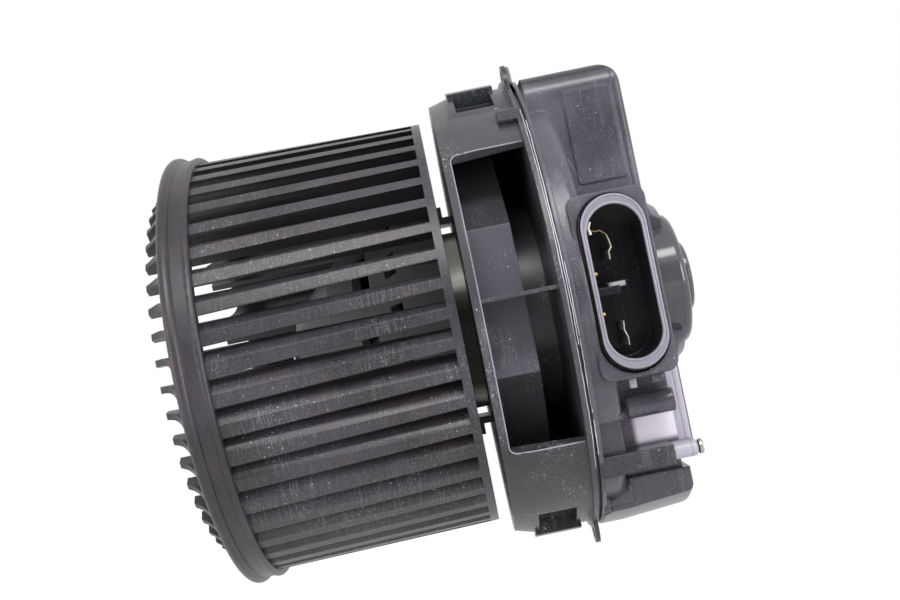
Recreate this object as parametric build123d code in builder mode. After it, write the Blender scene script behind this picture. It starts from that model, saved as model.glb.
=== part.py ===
"""Car cabin blower motor: a squirrel-cage fan wheel on a small DC motor in a moulded holder.

The fan axis is X. The wheel is at -X, the motor's rear cap at +X, the plug socket faces -Y and the
cooling duct rises to +Z. The origin is on the fan axis, in the flange face that seats on the heater box.
Angles round the axis start at -Y, the socket side, and grow towards +Z.
"""

import os
from math import cos, radians, sin

from build123d import *

os.makedirs("parts", exist_ok=True)

# Fits
RUNNING_FIT = 0.03
SEAT_GAP = 0.1

# Fan wheel
WHEEL_REAR_X = -32.3
WHEEL_REAR_RADIUS = 75.0
WHEEL_FRONT_RADIUS = 76.9
WHEEL_INNER_RADIUS = 63.5
BACK_PLATE = 3.0
RING_REAR_X = -113.4
RING_FRONT_X = -124.0
RING_RADIUS = 78.8
RING_WALL = 2.6
SMALL_BEAD = 2.4
LARGE_BEAD = 4.2
BEAD_HEIGHT = 1.5
BLADE_COUNT = 48
BLADE_OVERHANG = 7.2
BLADE_STUB_RADIUS = 66.8
BLADE_ROOT_ANGLE = 5.1
BLADE_THICKNESS = 2.2
BLADE_BEND_RADIUS = 68.0
BLADE_CURVE = 8.76
BLADE_TURN = 66.0
BLADE_TAIL = 4.0
HUB_WALL = 2.2
HUB_PROFILE = ((-62.0, 39.5), (-77.0, 28.5), (-88.0, 17.0))
HUB_FRONT_X = -92.0
HUB_NOSE_RADIUS = 12.0
BOSS_RADIUS = 9.5
BOSS_REAR_X = -70.0
INNER_SLOTS = (36.0, 41.0, 8, 30.0, 35.0)
OUTER_SLOTS = (46.5, 50.5, 16, 10.0, 29.0)

# Motor
SHAFT_RADIUS = 4.0
SHAFT_FRONT_X = -95.6
SHAFT_REAR_X = 41.0
CAN_RADIUS = 33.3
CAN_WALL = 1.5
CAN_FRONT_X = -58.0
CAN_REAR_X = 28.0
CAN_VENTS = 6
NOSE_RADIUS = 10.0
NOSE_LENGTH = 4.2
BEARING_RADIUS = 7.0
BEARING_LENGTH = 9.0
CORE_RADIUS = 24.2
CORE_FRONT_X = -42.0
CORE_REAR_X = -8.0
CORE_SLOTS = 12
AIR_GAP = 0.8
MAGNET_THICKNESS = 6.6
MAGNET_ANGLE = 136.0
MAGNET_OVERHANG = 4.0
WINDING_OVERHANG = 8.0
COMMUTATOR_RADIUS = 10.0
COMMUTATOR_FRONT_X = 3.0
COMMUTATOR_LENGTH = 15.0
COMMUTATOR_BARS = 12
BRUSH_SIZE = (8.0, 6.0)
BRUSH_LENGTH = 9.0
BRUSH_TRAVEL = 3.0
SPRING_WIRE = 0.5
SPRING_RADIUS = 2.0
SPRING_TURNS = 5
BRUSH_PLATE_X = 20.0
BRUSH_PLATE = 2.0
GUIDE_WALL = 1.2
END_HUMP_RADIUS = 10.5
END_HUMP_LENGTH = 10.0
CHOKE_RADIUS = 2.6
CHOKE_LENGTH = 12.0

# Holder
DRUM_FRONT_X = -27.5
DRUM_FRONT_RADIUS = 80.2
DRUM_RADIUS = 82.0
LEAD_IN = 6.7
DRUM_WALL = 2.3
FRONT_PLATE = 2.5
BARREL_RADIUS = 38.5
BARREL_WALL = 2.2
BARREL_REAR_X = 9.0
SKIRT_APOTHEM = 60.0
SKIRT_REAR_X = -9.5
SKIRT_WALL = 2.2
HOLDER_CLOCK = 3.5
WINDOW_HALF_ANGLE = 37.3
RIB_THICKNESS = 1.3
RIB_Z = 4.5
FLANGE_RADIUS = 84.0
FLANGE_THICKNESS = 1.6
EAR_REACH = 6.3
EAR_RADIUS = FLANGE_RADIUS + EAR_REACH
EAR_WIDTH = 14.0
EAR_HOLE = 2.0
EAR_HOLE_EDGE = 3.7
EAR_HOLE_PLACE = EAR_RADIUS - EAR_HOLE_EDGE
EAR_ANGLES = (72.0, -75.0, 180.0)
POCKET_FRONT_X = -20.5
POCKET_REAR_X = -4.0
POCKET_ANGLES = (59.0, 73.0)
POCKET_DEPTH = 4.0
LUG_HEIGHT = 1.9
LUG_ANGLE = 12.0
CLAW_FRONT_X = -33.2
CLAW_HEIGHT = 6.5
CLAW_WALL = 2.6
CLAW_WIDTH = 18.0
TAB_LENGTH = 6.4
TAB_ANGLES = (48.0, 52.5)
DAMPER_FRONT_X = -20.0
DAMPER_REAR_X = 3.0
DAMPER_WIDTH = 6.0

# Rear cover
COVER_FRONT_X = FLANGE_THICKNESS
COVER_RIM_X = 3.0
COVER_RIM = 1.6
COVER_INSET = 0.6
COVER_RIM_RADIUS = FLANGE_RADIUS - COVER_INSET
COVER_STEP = 3.4
COVER_RADIUS = COVER_RIM_RADIUS - COVER_STEP
COVER_REAR_X = 13.0
COVER_WALL = 2.2
COVER_EDGE = 4.0
BODY_REAR_X = 34.6
BODY_NEAR_Y = -47.5
BODY_FAR_Y = 50.0
BODY_BOTTOM_Z = -60.0
BODY_TOP_Z = 77.5
BODY_TOP_CORNER = 8.0
BODY_CORNER = 6.0
BODY_ROUND = 8.5
PANEL_X = (17.0, 33.5)
PANEL_Z = (37.0, 69.0)
PANEL_PROUD = 0.6
LID_THICKNESS = 2.8
LID_EDGE = 1.2
SOCKET_FACE_Y = -80.0
SOCKET_X = 20.7
SOCKET_Z = 2.0
SOCKET_OUTSIDE = (55.6, 20.8)
SOCKET_INSIDE = (49.0, 17.4)
SOCKET_DEPTH = 26.0
SOCKET_FLOOR = 2.0
SOCKET_PROUD = 2.0
KEY_REACH = 7.5
KEY_WIDTH = 2.4
GROOVE_CENTRE = (20.3, 1.6)
GROOVE = (57.4, 22.2)
GROOVE_DEPTH = 8.0
BOSS_X = (7.8, 32.6)
BOSS_Z = (-28.4, 31.2)
BOSS_CORNER = 4.0
BOSS_FLOOR = 2.0
TERMINAL_Z = (13.8, -14.3)
TERMINAL_WIDTH = 8.0
TERMINAL_THICKNESS = 0.8
TERMINAL_TIP_Y = -72.0
TERMINAL_TAIL = 6.0
BAR_RADIUS = 3.9
BAR_X = (15.9, 31.6)
BAR_CENTRE = (-58.0, -39.0)
BAR_WEB = 3.0
POST_RADIUS = 2.8
POST_FRONT_X = 27.0
SCREW_CENTRES = ((-54.0, -56.6), (52.6, 42.0), (52.6, -42.0))
SCREW_RADIUS = 1.4
SCREW_LENGTH = 9.0
SCREW_HEAD_RADIUS = 2.5
SCREW_HEAD_HEIGHT = 1.4
SHELF_Z = -53.2
SHELF_X = (3.7, 28.0)
SHELF_NEAR_Y = -62.0
SHELF_DROP = 6.6
SHELF_WALL = 1.6
NICHE_TOP_Z = -41.5
NICHE_FLOOR_Y = -57.0
HOOD_TOP_Z = -65.0
HOOD_LOW_TOP_Z = -67.6
HOOD_BEND_X = 14.0
HOOD_NEAR_Y = -37.0
HOOD_FRONT_X = 3.8
HOOD_REAR_X = 36.0
HOOD_FACET = 3.2
HOOD_FRONT_RADIUS = 83.8
HOOD_MIDDLE_X = 12.0
HOOD_REAR_RADIUS = 82.0
HOOD_CORNER = 2.2
HOOD_WALL = 1.8
NECK_HALF = 33.0

# Rear cap
CAP_RADIUS = 24.5
CAP_REAR_X = 51.5
CAP_WALL = 2.0
CAP_EDGE = 3.0
CAP_STEP_RADIUS = 13.5
CAP_STEP = 3.5
COLLAR_INNER = 28.4
COLLAR_RADIUS = 31.2
COLLAR_REAR_X = 47.0
COLLAR_OPENING = 50.0


def ring_point(radius, angle):
    """Return the (y, z) place at this radius and this angle from -Y towards +Z."""
    return (-radius * cos(radians(angle)), radius * sin(radians(angle)))


def section_at(x):
    """Return the plane across the fan axis at x, with Y and Z as its own axes."""
    return Plane.YZ.offset(x)


def sector(inner, outer, low, high):
    """Draw the flat ring sector between two radii and two angles, in the active sketch."""
    middle = (low + high) / 2
    with BuildLine(Plane.XY) as outline:
        near_arc = ThreePointArc(ring_point(inner, low), ring_point(inner, middle), ring_point(inner, high))
        far_arc = ThreePointArc(ring_point(outer, low), ring_point(outer, middle), ring_point(outer, high))
        Line(near_arc @ 0, far_arc @ 0)
        Line(near_arc @ 1, far_arc @ 1)
    make_face(outline.edges())


def tube(front_x, rear_x, outer, inner):
    """Make a plain tube round the fan axis in the active part."""
    with BuildSketch(section_at(front_x)) as ring:
        Circle(outer)
        if inner > 0:
            Circle(inner, mode=Mode.SUBTRACT)
    extrude(ring.sketch, amount=rear_x - front_x)


def finish(builder, name, colour):
    """Name one finished piece and write it to its own file."""
    builder.part.label = name
    builder.part.color = Color(*colour)
    export_step(builder.part, f"parts/{name}.step")


BLACK = (0.10, 0.10, 0.11)
GREY = (0.42, 0.42, 0.44)
STEEL = (0.62, 0.62, 0.58)
COPPER = (0.75, 0.42, 0.22)
BRASS = (0.80, 0.68, 0.36)
CARBON = (0.20, 0.20, 0.21)



def blade_point(radius, turn):
    """Return the (y, z) place on a blade's curved part at this radius and turn from its straight root."""
    reach = BLADE_BEND_RADIUS + radius * sin(radians(turn))
    return (-reach, radius * cos(radians(turn)) - BLADE_CURVE)


# One blade's section: a straight root, then a curve that leans back until it lies along the cage
tail_step = Vector(-cos(radians(BLADE_TURN)), -sin(radians(BLADE_TURN))) * BLADE_TAIL
with BuildSketch() as blade_section:
    with BuildLine():
        sides = []
        for radius in (BLADE_CURVE + BLADE_THICKNESS / 2, BLADE_CURVE - BLADE_THICKNESS / 2):
            bend = ThreePointArc(
                blade_point(radius, 0),
                blade_point(radius, BLADE_TURN / 2),
                blade_point(radius, BLADE_TURN),
            )
            root = Line((-WHEEL_INNER_RADIUS, radius - BLADE_CURVE), bend @ 0)
            tail = Line(bend @ 1, (bend @ 1) + tail_step)
            sides.append((root @ 0, tail @ 1))
        Line(sides[0][0], sides[1][0])
        Line(sides[0][1], sides[1][1])
    make_face()

# Fan wheel: blades trimmed to the cage's cone, then plate, ring, hub cone and boss
blade_end_x = RING_FRONT_X - BLADE_OVERHANG
plate_front_x = WHEEL_REAR_X - BACK_PLATE
hub_shift = HUB_WALL * 1.4
hub_inside = [(x + hub_shift, radius) for x, radius in reversed(HUB_PROFILE)]

with BuildPart() as fan_wheel:
    with BuildSketch(section_at(blade_end_x)):
        with PolarLocations(0, BLADE_COUNT, start_angle=-BLADE_ROOT_ANGLE):
            add(blade_section.sketch)
    extrude(amount=WHEEL_REAR_X - blade_end_x - BACK_PLATE / 2)
    with BuildSketch(Plane.XZ):
        with BuildLine():
            Polyline(
                (blade_end_x, WHEEL_INNER_RADIUS),
                (blade_end_x, WHEEL_INNER_RADIUS - 3),
                (WHEEL_REAR_X, WHEEL_INNER_RADIUS - 3),
                (WHEEL_REAR_X, WHEEL_REAR_RADIUS),
                (RING_REAR_X, WHEEL_FRONT_RADIUS),
                (RING_FRONT_X, WHEEL_FRONT_RADIUS),
            )
            ThreePointArc(
                (RING_FRONT_X, WHEEL_FRONT_RADIUS),
                (RING_FRONT_X - BLADE_OVERHANG * 0.38, (WHEEL_FRONT_RADIUS + BLADE_STUB_RADIUS) / 2 - 0.9),
                (blade_end_x, BLADE_STUB_RADIUS),
            )
            Line((blade_end_x, BLADE_STUB_RADIUS), (blade_end_x, WHEEL_INNER_RADIUS))
        make_face()
    revolve(axis=Axis.X, mode=Mode.INTERSECT)
    with BuildSketch(Plane.XZ):
        with BuildLine():
            bead_rear_x = RING_REAR_X - SMALL_BEAD
            bead_front_x = RING_FRONT_X + LARGE_BEAD
            small_bead = ThreePointArc(
                (RING_REAR_X, WHEEL_FRONT_RADIUS + 0.5),
                (RING_REAR_X - SMALL_BEAD * 0.4, RING_RADIUS + 0.3),
                (bead_rear_x, RING_RADIUS - 0.1),
            )
            large_bead = ThreePointArc(
                (bead_front_x, RING_RADIUS - 0.1),
                (bead_front_x - LARGE_BEAD / 2, RING_RADIUS + BEAD_HEIGHT),
                (RING_FRONT_X, RING_RADIUS - 0.4),
            )
            Line(small_bead @ 1, large_bead @ 0)
            Polyline(
                large_bead @ 1,
                (RING_FRONT_X, RING_RADIUS - RING_WALL),
                (RING_REAR_X, RING_RADIUS - RING_WALL - 0.6),
                small_bead @ 0,
            )
        make_face()
        with BuildLine():
            Polyline(
                (WHEEL_REAR_X, WHEEL_REAR_RADIUS),
                (plate_front_x, WHEEL_REAR_RADIUS + 0.06),
                (plate_front_x, WHEEL_INNER_RADIUS),
                *HUB_PROFILE,
                (HUB_FRONT_X, HUB_NOSE_RADIUS),
                (HUB_FRONT_X, SHAFT_RADIUS + RUNNING_FIT),
                (BOSS_REAR_X, SHAFT_RADIUS + RUNNING_FIT),
                (BOSS_REAR_X, BOSS_RADIUS),
                (HUB_FRONT_X + 2 * hub_shift, BOSS_RADIUS),
                *hub_inside,
                (WHEEL_REAR_X - HUB_WALL, WHEEL_INNER_RADIUS - HUB_WALL),
                (WHEEL_REAR_X, WHEEL_INNER_RADIUS - HUB_WALL),
                close=True,
            )
        make_face()
    revolve(axis=Axis.X)
    for inner, outer, count, width, first in (INNER_SLOTS, OUTER_SLOTS):
        with BuildSketch(section_at(HUB_PROFILE[1][0])):
            for index in range(count):
                centre = first + index * 360 / count
                sector(inner, outer, centre - width / 2, centre + width / 2)
        extrude(amount=plate_front_x - HUB_PROFILE[1][0], mode=Mode.SUBTRACT)
finish(fan_wheel, "fan_wheel", BLACK)

# Push nut on the shaft's front end
with BuildPart() as wheel_clip:
    tube(HUB_FRONT_X - SEAT_GAP - 0.8, HUB_FRONT_X - SEAT_GAP, 7.0, SHAFT_RADIUS + RUNNING_FIT)
    with BuildSketch(section_at(HUB_FRONT_X - 2)):
        with PolarLocations(6.0, 6):
            Rectangle(2.6, 1.2)
    extrude(amount=2, mode=Mode.SUBTRACT)
finish(wheel_clip, "wheel_clip", STEEL)

# Shaft, with small chamfers at both ends
with BuildPart() as motor_shaft:
    tube(SHAFT_FRONT_X, SHAFT_REAR_X, SHAFT_RADIUS, 0)
    chamfer(motor_shaft.edges().filter_by(GeomType.CIRCLE), length=0.6)
finish(motor_shaft, "motor_shaft", STEEL)

# Laminated core with its winding slots
slot_middle_radius = CORE_RADIUS - 6.5
with BuildPart() as armature_core:
    with BuildSketch(section_at(CORE_FRONT_X)):
        Circle(CORE_RADIUS)
        Circle(SHAFT_RADIUS + RUNNING_FIT, mode=Mode.SUBTRACT)
        with PolarLocations(slot_middle_radius, CORE_SLOTS):
            Rectangle(9.0, 4.2, mode=Mode.SUBTRACT)
        with PolarLocations(CORE_RADIUS, CORE_SLOTS):
            Rectangle(5.0, 1.8, mode=Mode.SUBTRACT)
    extrude(amount=CORE_REAR_X - CORE_FRONT_X)
finish(armature_core, "armature_core", STEEL)

# Winding: coil sides in the slots, joined by the end turns at each end of the core
coil_inner = slot_middle_radius - 4.2
coil_outer = slot_middle_radius + 4.2
with BuildPart() as armature_winding:
    with BuildSketch(section_at(CORE_FRONT_X - WINDING_OVERHANG / 2)):
        with PolarLocations(slot_middle_radius, CORE_SLOTS):
            Rectangle(8.4, 3.8)
    extrude(amount=CORE_REAR_X - CORE_FRONT_X + WINDING_OVERHANG)
    for start_x in (CORE_FRONT_X - WINDING_OVERHANG, CORE_REAR_X + SEAT_GAP):
        tube(start_x, start_x + WINDING_OVERHANG - SEAT_GAP, coil_outer, coil_inner)
finish(armature_winding, "armature_winding", COPPER)

# Commutator with its bar gaps
with BuildPart() as commutator:
    tube(
        COMMUTATOR_FRONT_X,
        COMMUTATOR_FRONT_X + COMMUTATOR_LENGTH,
        COMMUTATOR_RADIUS,
        SHAFT_RADIUS + RUNNING_FIT,
    )
    with BuildSketch(section_at(COMMUTATOR_FRONT_X + 2)):
        with PolarLocations(COMMUTATOR_RADIUS, COMMUTATOR_BARS, start_angle=15):
            Rectangle(2.0, 0.5)
    extrude(amount=COMMUTATOR_LENGTH, mode=Mode.SUBTRACT)
finish(commutator, "commutator", COPPER)

# Drawn steel can with its nose for the front bush and vents in the front face
can_nose_x = CAN_FRONT_X - NOSE_LENGTH
bush_bore = SHAFT_RADIUS + RUNNING_FIT
with BuildPart() as motor_can:
    with BuildSketch(Plane.XZ):
        with BuildLine():
            Polyline(
                (CAN_REAR_X, CAN_RADIUS),
                (CAN_FRONT_X + 3, CAN_RADIUS),
                (CAN_FRONT_X, CAN_RADIUS - 3),
                (CAN_FRONT_X, NOSE_RADIUS),
                (can_nose_x, NOSE_RADIUS),
                (can_nose_x, SHAFT_RADIUS + 1),
                (can_nose_x + CAN_WALL, SHAFT_RADIUS + 1),
                (can_nose_x + CAN_WALL, BEARING_RADIUS + SEAT_GAP),
                (CAN_FRONT_X + CAN_WALL + 3, BEARING_RADIUS + SEAT_GAP),
                (CAN_FRONT_X + CAN_WALL + 3, NOSE_RADIUS),
                (CAN_FRONT_X + CAN_WALL, NOSE_RADIUS + 1),
                (CAN_FRONT_X + CAN_WALL, CAN_RADIUS - 4),
                (CAN_FRONT_X + CAN_WALL + 2.5, CAN_RADIUS - CAN_WALL),
                (CAN_REAR_X, CAN_RADIUS - CAN_WALL),
                close=True,
            )
        make_face()
    revolve(axis=Axis.X)
    with BuildSketch(section_at(CAN_FRONT_X - 1)):
        for index in range(CAN_VENTS):
            centre = (index + 0.5) * 360 / CAN_VENTS
            sector(14.0, 26.0, centre - 18, centre + 18)
    extrude(amount=CAN_WALL + 2, mode=Mode.SUBTRACT)
finish(motor_can, "motor_can", STEEL)

# Steel end plate with the hump for the rear bush
hump_front_x = CAN_REAR_X + CAN_WALL
hump_rear_x = hump_front_x + END_HUMP_LENGTH
with BuildPart() as end_plate:
    with BuildSketch(Plane.XZ):
        with BuildLine():
            Polyline(
                (CAN_REAR_X, BEARING_RADIUS + SEAT_GAP),
                (CAN_REAR_X, CAN_RADIUS),
                (hump_front_x, CAN_RADIUS),
                (hump_front_x, END_HUMP_RADIUS),
                (hump_rear_x, END_HUMP_RADIUS),
                (hump_rear_x, SHAFT_RADIUS + 1),
                (hump_rear_x - CAN_WALL, SHAFT_RADIUS + 1),
                (hump_rear_x - CAN_WALL, BEARING_RADIUS + SEAT_GAP),
                close=True,
            )
        make_face()
    revolve(axis=Axis.X)
    with BuildSketch(section_at(CAN_REAR_X - 1)):
        with PolarLocations(22.0, 4, start_angle=45):
            SlotOverall(14, 6, rotation=90)
    extrude(amount=CAN_WALL + 2, mode=Mode.SUBTRACT)
finish(end_plate, "end_plate", STEEL)

# Sintered bushes
front_bush_x = can_nose_x + CAN_WALL + SEAT_GAP
rear_bush_x = hump_rear_x - CAN_WALL - SEAT_GAP - BEARING_LENGTH
with BuildPart() as front_bearing:
    tube(front_bush_x, front_bush_x + BEARING_LENGTH - 2.5, BEARING_RADIUS, bush_bore)
finish(front_bearing, "front_bearing", BRASS)

with BuildPart() as rear_bearing:
    tube(rear_bush_x, rear_bush_x + BEARING_LENGTH, BEARING_RADIUS, bush_bore)
finish(rear_bearing, "rear_bearing", BRASS)

# Ferrite arcs on the can's inner wall
magnet_outer = CAN_RADIUS - CAN_WALL - SEAT_GAP
magnet_inner = CORE_RADIUS + AIR_GAP
for name, centre in (("magnet_near", 0.0), ("magnet_far", 180.0)):
    with BuildPart() as magnet:
        with BuildSketch(section_at(CORE_FRONT_X - MAGNET_OVERHANG)):
            sector(magnet_inner, magnet_outer, centre - MAGNET_ANGLE / 2, centre + MAGNET_ANGLE / 2)
        extrude(amount=CORE_REAR_X - CORE_FRONT_X + 2 * MAGNET_OVERHANG)
    finish(magnet, name, CARBON)

# Brush carrier: a plate with a box guide above and below the commutator
brush_x = COMMUTATOR_FRONT_X + COMMUTATOR_LENGTH / 2
brush_foot = COMMUTATOR_RADIUS + RUNNING_FIT
brush_top = brush_foot + BRUSH_LENGTH
guide_top = magnet_outer - SEAT_GAP - 1.5
guide_bottom = COMMUTATOR_RADIUS + 1.5
guide_clear = 0.1
with BuildPart() as brush_holder:
    tube(BRUSH_PLATE_X, BRUSH_PLATE_X + BRUSH_PLATE, magnet_outer, COMMUTATOR_RADIUS + 2)
    for side in (1, -1):
        guide_height = guide_top - guide_bottom
        guide_depth = BRUSH_PLATE_X - brush_x + BRUSH_SIZE[0] / 2 + GUIDE_WALL + guide_clear
        guide_plane = Plane.XY.offset(side * guide_bottom)
        guide_centre_x = BRUSH_PLATE_X - guide_depth / 2
        with BuildSketch(guide_plane):
            with Locations((guide_centre_x + 0.5, 0)):
                Rectangle(guide_depth + 1, BRUSH_SIZE[1] + 2 * GUIDE_WALL + 2 * guide_clear)
        extrude(amount=side * (guide_height + GUIDE_WALL))
        with BuildSketch(Plane.XY.offset(side * (guide_bottom - 1))):
            with Locations((brush_x, 0)):
                Rectangle(BRUSH_SIZE[0] + 2 * guide_clear, BRUSH_SIZE[1] + 2 * guide_clear)
        extrude(amount=side * (guide_height + 1), mode=Mode.SUBTRACT)
finish(brush_holder, "brush_holder", BLACK)

# Brushes, hollowed at the foot to the commutator's round, and their springs
for name, side in (("brush_upper", 1), ("brush_lower", -1)):
    with BuildPart() as brush:
        with BuildSketch(Plane.XY.offset(side * (brush_foot - 1))):
            with Locations((brush_x, 0)):
                Rectangle(*BRUSH_SIZE)
        extrude(amount=side * (BRUSH_LENGTH + 1))
        with BuildSketch(section_at(brush_x - BRUSH_SIZE[0])):
            Circle(brush_foot)
        extrude(amount=2 * BRUSH_SIZE[0], mode=Mode.SUBTRACT)
    finish(brush, name, CARBON)

spring_span = guide_top - brush_top - 2 * SEAT_GAP - SPRING_WIRE * 2
for name, side in (("brush_spring_upper", 1), ("brush_spring_lower", -1)):
    spring_foot = brush_top + SEAT_GAP + SPRING_WIRE
    with BuildPart() as spring:
        with BuildLine():
            coil = Helix(
                pitch=spring_span / SPRING_TURNS,
                height=spring_span,
                radius=SPRING_RADIUS,
                center=(brush_x, 0, side * spring_foot),
                direction=(0, 0, side),
            )
        with BuildSketch(Plane(origin=coil @ 0, z_dir=coil % 0)):
            RegularPolygon(SPRING_WIRE, 6)
        sweep(is_frenet=True)
    finish(spring, name, STEEL)

# Suppression coils on the brush plate
for name, side in (("choke_upper", 1), ("choke_lower", -1)):
    with BuildPart() as choke:
        with BuildSketch(Plane.XZ.offset(-side * 16.0 - CHOKE_LENGTH / 2)):
            with Locations((BRUSH_PLATE_X - CHOKE_RADIUS - SEAT_GAP, side * 14.0)):
                Circle(CHOKE_RADIUS)
        extrude(amount=CHOKE_LENGTH)
    finish(choke, name, COPPER)

# Holder: drum, front plate, barrel, eight-sided skirt, flange, ears, pockets, lugs and claws
barrel_bore = BARREL_RADIUS - BARREL_WALL
plate_rear_x = DRUM_FRONT_X + FRONT_PLATE
skirt_turn = 22.5 - HOLDER_CLOCK
with BuildPart() as motor_holder:
    with BuildSketch(Plane.XZ):
        with BuildLine():
            Polyline(
                (DRUM_FRONT_X, barrel_bore),
                (DRUM_FRONT_X, DRUM_FRONT_RADIUS),
                (DRUM_FRONT_X + LEAD_IN, DRUM_RADIUS),
                (FLANGE_THICKNESS, DRUM_RADIUS),
                (FLANGE_THICKNESS, DRUM_RADIUS - DRUM_WALL),
                (plate_rear_x, DRUM_FRONT_RADIUS - DRUM_WALL),
                (plate_rear_x, BARREL_RADIUS),
                (BARREL_REAR_X, BARREL_RADIUS),
                (BARREL_REAR_X, barrel_bore),
                close=True,
            )
        make_face()
        flange_middle = (barrel_bore + FLANGE_RADIUS + 1) / 2
        with Locations((FLANGE_THICKNESS / 2, flange_middle)):
            Rectangle(FLANGE_THICKNESS, 2 * (FLANGE_RADIUS - flange_middle))
    revolve(axis=Axis.X)
    with BuildSketch(section_at(plate_rear_x - 0.5)):
        RegularPolygon(SKIRT_APOTHEM, 8, major_radius=False, rotation=skirt_turn)
        RegularPolygon(
            SKIRT_APOTHEM - SKIRT_WALL, 8, major_radius=False, rotation=skirt_turn, mode=Mode.SUBTRACT
        )
    extrude(amount=SKIRT_REAR_X - plate_rear_x + 0.5)
    with BuildSketch(section_at(plate_rear_x)):
        sector(
            DRUM_FRONT_RADIUS - 2 * DRUM_WALL,
            FLANGE_RADIUS + 5,
            HOLDER_CLOCK - WINDOW_HALF_ANGLE,
            HOLDER_CLOCK + WINDOW_HALF_ANGLE,
        )
    extrude(amount=-plate_rear_x, mode=Mode.SUBTRACT)
    with BuildSketch(Plane.XY.offset(RIB_Z - RIB_THICKNESS / 2)):
        with Locations((plate_rear_x / 2, -(SKIRT_APOTHEM + DRUM_FRONT_RADIUS) / 2)):
            Rectangle(-plate_rear_x + 1, DRUM_FRONT_RADIUS - SKIRT_APOTHEM + 1)
    extrude(amount=RIB_THICKNESS)
    with BuildSketch(section_at(0)):
        for angle in EAR_ANGLES:
            with PolarLocations(FLANGE_RADIUS - 5, 1, start_angle=180 - angle):
                SlotOverall(2 * (EAR_RADIUS - FLANGE_RADIUS + 5), EAR_WIDTH)
        Circle(FLANGE_RADIUS - 1, mode=Mode.SUBTRACT)
        for angle in EAR_ANGLES:
            with PolarLocations(EAR_HOLE_PLACE, 1, start_angle=180 - angle):
                Circle(EAR_HOLE, mode=Mode.SUBTRACT)
    extrude(amount=FLANGE_THICKNESS)
    for side in (1, -1):
        low_angle = min(side * POCKET_ANGLES[0], side * POCKET_ANGLES[1])
        high_angle = max(side * POCKET_ANGLES[0], side * POCKET_ANGLES[1])
        lug_low = min(side * POCKET_ANGLES[1], side * (POCKET_ANGLES[1] + LUG_ANGLE))
        floor_radius = DRUM_RADIUS - POCKET_DEPTH
        with BuildSketch(section_at(POCKET_FRONT_X)):
            sector(floor_radius - DRUM_WALL, DRUM_RADIUS - 0.5, low_angle - 1.6, high_angle + 1.6)
        extrude(amount=POCKET_REAR_X - POCKET_FRONT_X)
        with BuildSketch(section_at(POCKET_FRONT_X + 1.6)):
            sector(floor_radius, DRUM_RADIUS + 1, low_angle, high_angle)
        extrude(amount=POCKET_REAR_X - POCKET_FRONT_X - 3.2, mode=Mode.SUBTRACT)
        with BuildSketch(section_at(POCKET_FRONT_X)):
            sector(DRUM_RADIUS - 1, DRUM_RADIUS + LUG_HEIGHT, lug_low, lug_low + LUG_ANGLE)
        extrude(amount=POCKET_REAR_X - POCKET_FRONT_X)
        with BuildSketch(Plane.XY.offset(side * barrel_bore)):
            with Locations(((CLAW_FRONT_X + plate_rear_x) / 2, 0)):
                Rectangle(plate_rear_x - CLAW_FRONT_X, CLAW_WIDTH)
        extrude(amount=side * CLAW_WALL)
        with BuildSketch(Plane.XY.offset(side * barrel_bore)):
            with Locations((CLAW_FRONT_X + CLAW_WALL / 2, 0)):
                Rectangle(CLAW_WALL, CLAW_WIDTH)
        extrude(amount=side * CLAW_HEIGHT)
    with BuildSketch(section_at(-TAB_LENGTH)):
        sector(DRUM_RADIUS - 1, FLANGE_RADIUS, *TAB_ANGLES)
    extrude(amount=TAB_LENGTH + FLANGE_THICKNESS / 2)
finish(motor_holder, "motor_holder", BLACK)

# Rubber bands between the can and the barrel
for name, front_x in (("front_damper", DAMPER_FRONT_X), ("rear_damper", DAMPER_REAR_X)):
    with BuildPart() as damper:
        tube(front_x, front_x + DAMPER_WIDTH, barrel_bore, CAN_RADIUS)
        with BuildSketch(section_at(front_x)):
            with PolarLocations(barrel_bore, 12):
                Rectangle(1.6, 5.0)
        extrude(amount=DAMPER_WIDTH, mode=Mode.SUBTRACT)
    finish(damper, name, CARBON)

# Outline of the rear body, duct included, used by the cover and by its lid
body_centre = ((BODY_FAR_Y + BODY_NEAR_Y) / 2, (BODY_TOP_Z + BODY_BOTTOM_Z) / 2)
with BuildSketch() as body_outline:
    with Locations(body_centre):
        Rectangle(BODY_FAR_Y - BODY_NEAR_Y, BODY_TOP_Z - BODY_BOTTOM_Z)
    fillet(body_outline.vertices().group_by(Axis.Y)[-1], BODY_TOP_CORNER)
    fillet(body_outline.vertices().group_by(Axis.Y)[0], BODY_CORNER)

with BuildSketch() as body_inside:
    add(body_outline.sketch)
    offset(amount=-COVER_WALL)

lid_rear_x = BODY_REAR_X + LID_THICKNESS
round_centre = (lid_rear_x - BODY_ROUND, BODY_TOP_Z - BODY_ROUND)


def top_corner(radius):
    """Make the prism outside the rounding of the body's upper rear edge, in the active part."""
    with BuildSketch(Plane.XZ) as corner:
        with Locations((round_centre[0] + BODY_ROUND, round_centre[1] + BODY_ROUND)):
            Rectangle(2 * BODY_ROUND, 2 * BODY_ROUND)
        with Locations(round_centre):
            Circle(radius, mode=Mode.SUBTRACT)
    extrude(corner.sketch, amount=2 * BODY_FAR_Y, both=True, mode=Mode.SUBTRACT)


with BuildPart() as body_hollow:
    with BuildSketch(section_at(COVER_RIM_X + COVER_RIM + COVER_WALL)):
        add(body_inside.sketch)
    extrude(amount=BODY_REAR_X - COVER_RIM_X - COVER_RIM - COVER_WALL)
    top_corner(BODY_ROUND - COVER_WALL)

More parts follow.
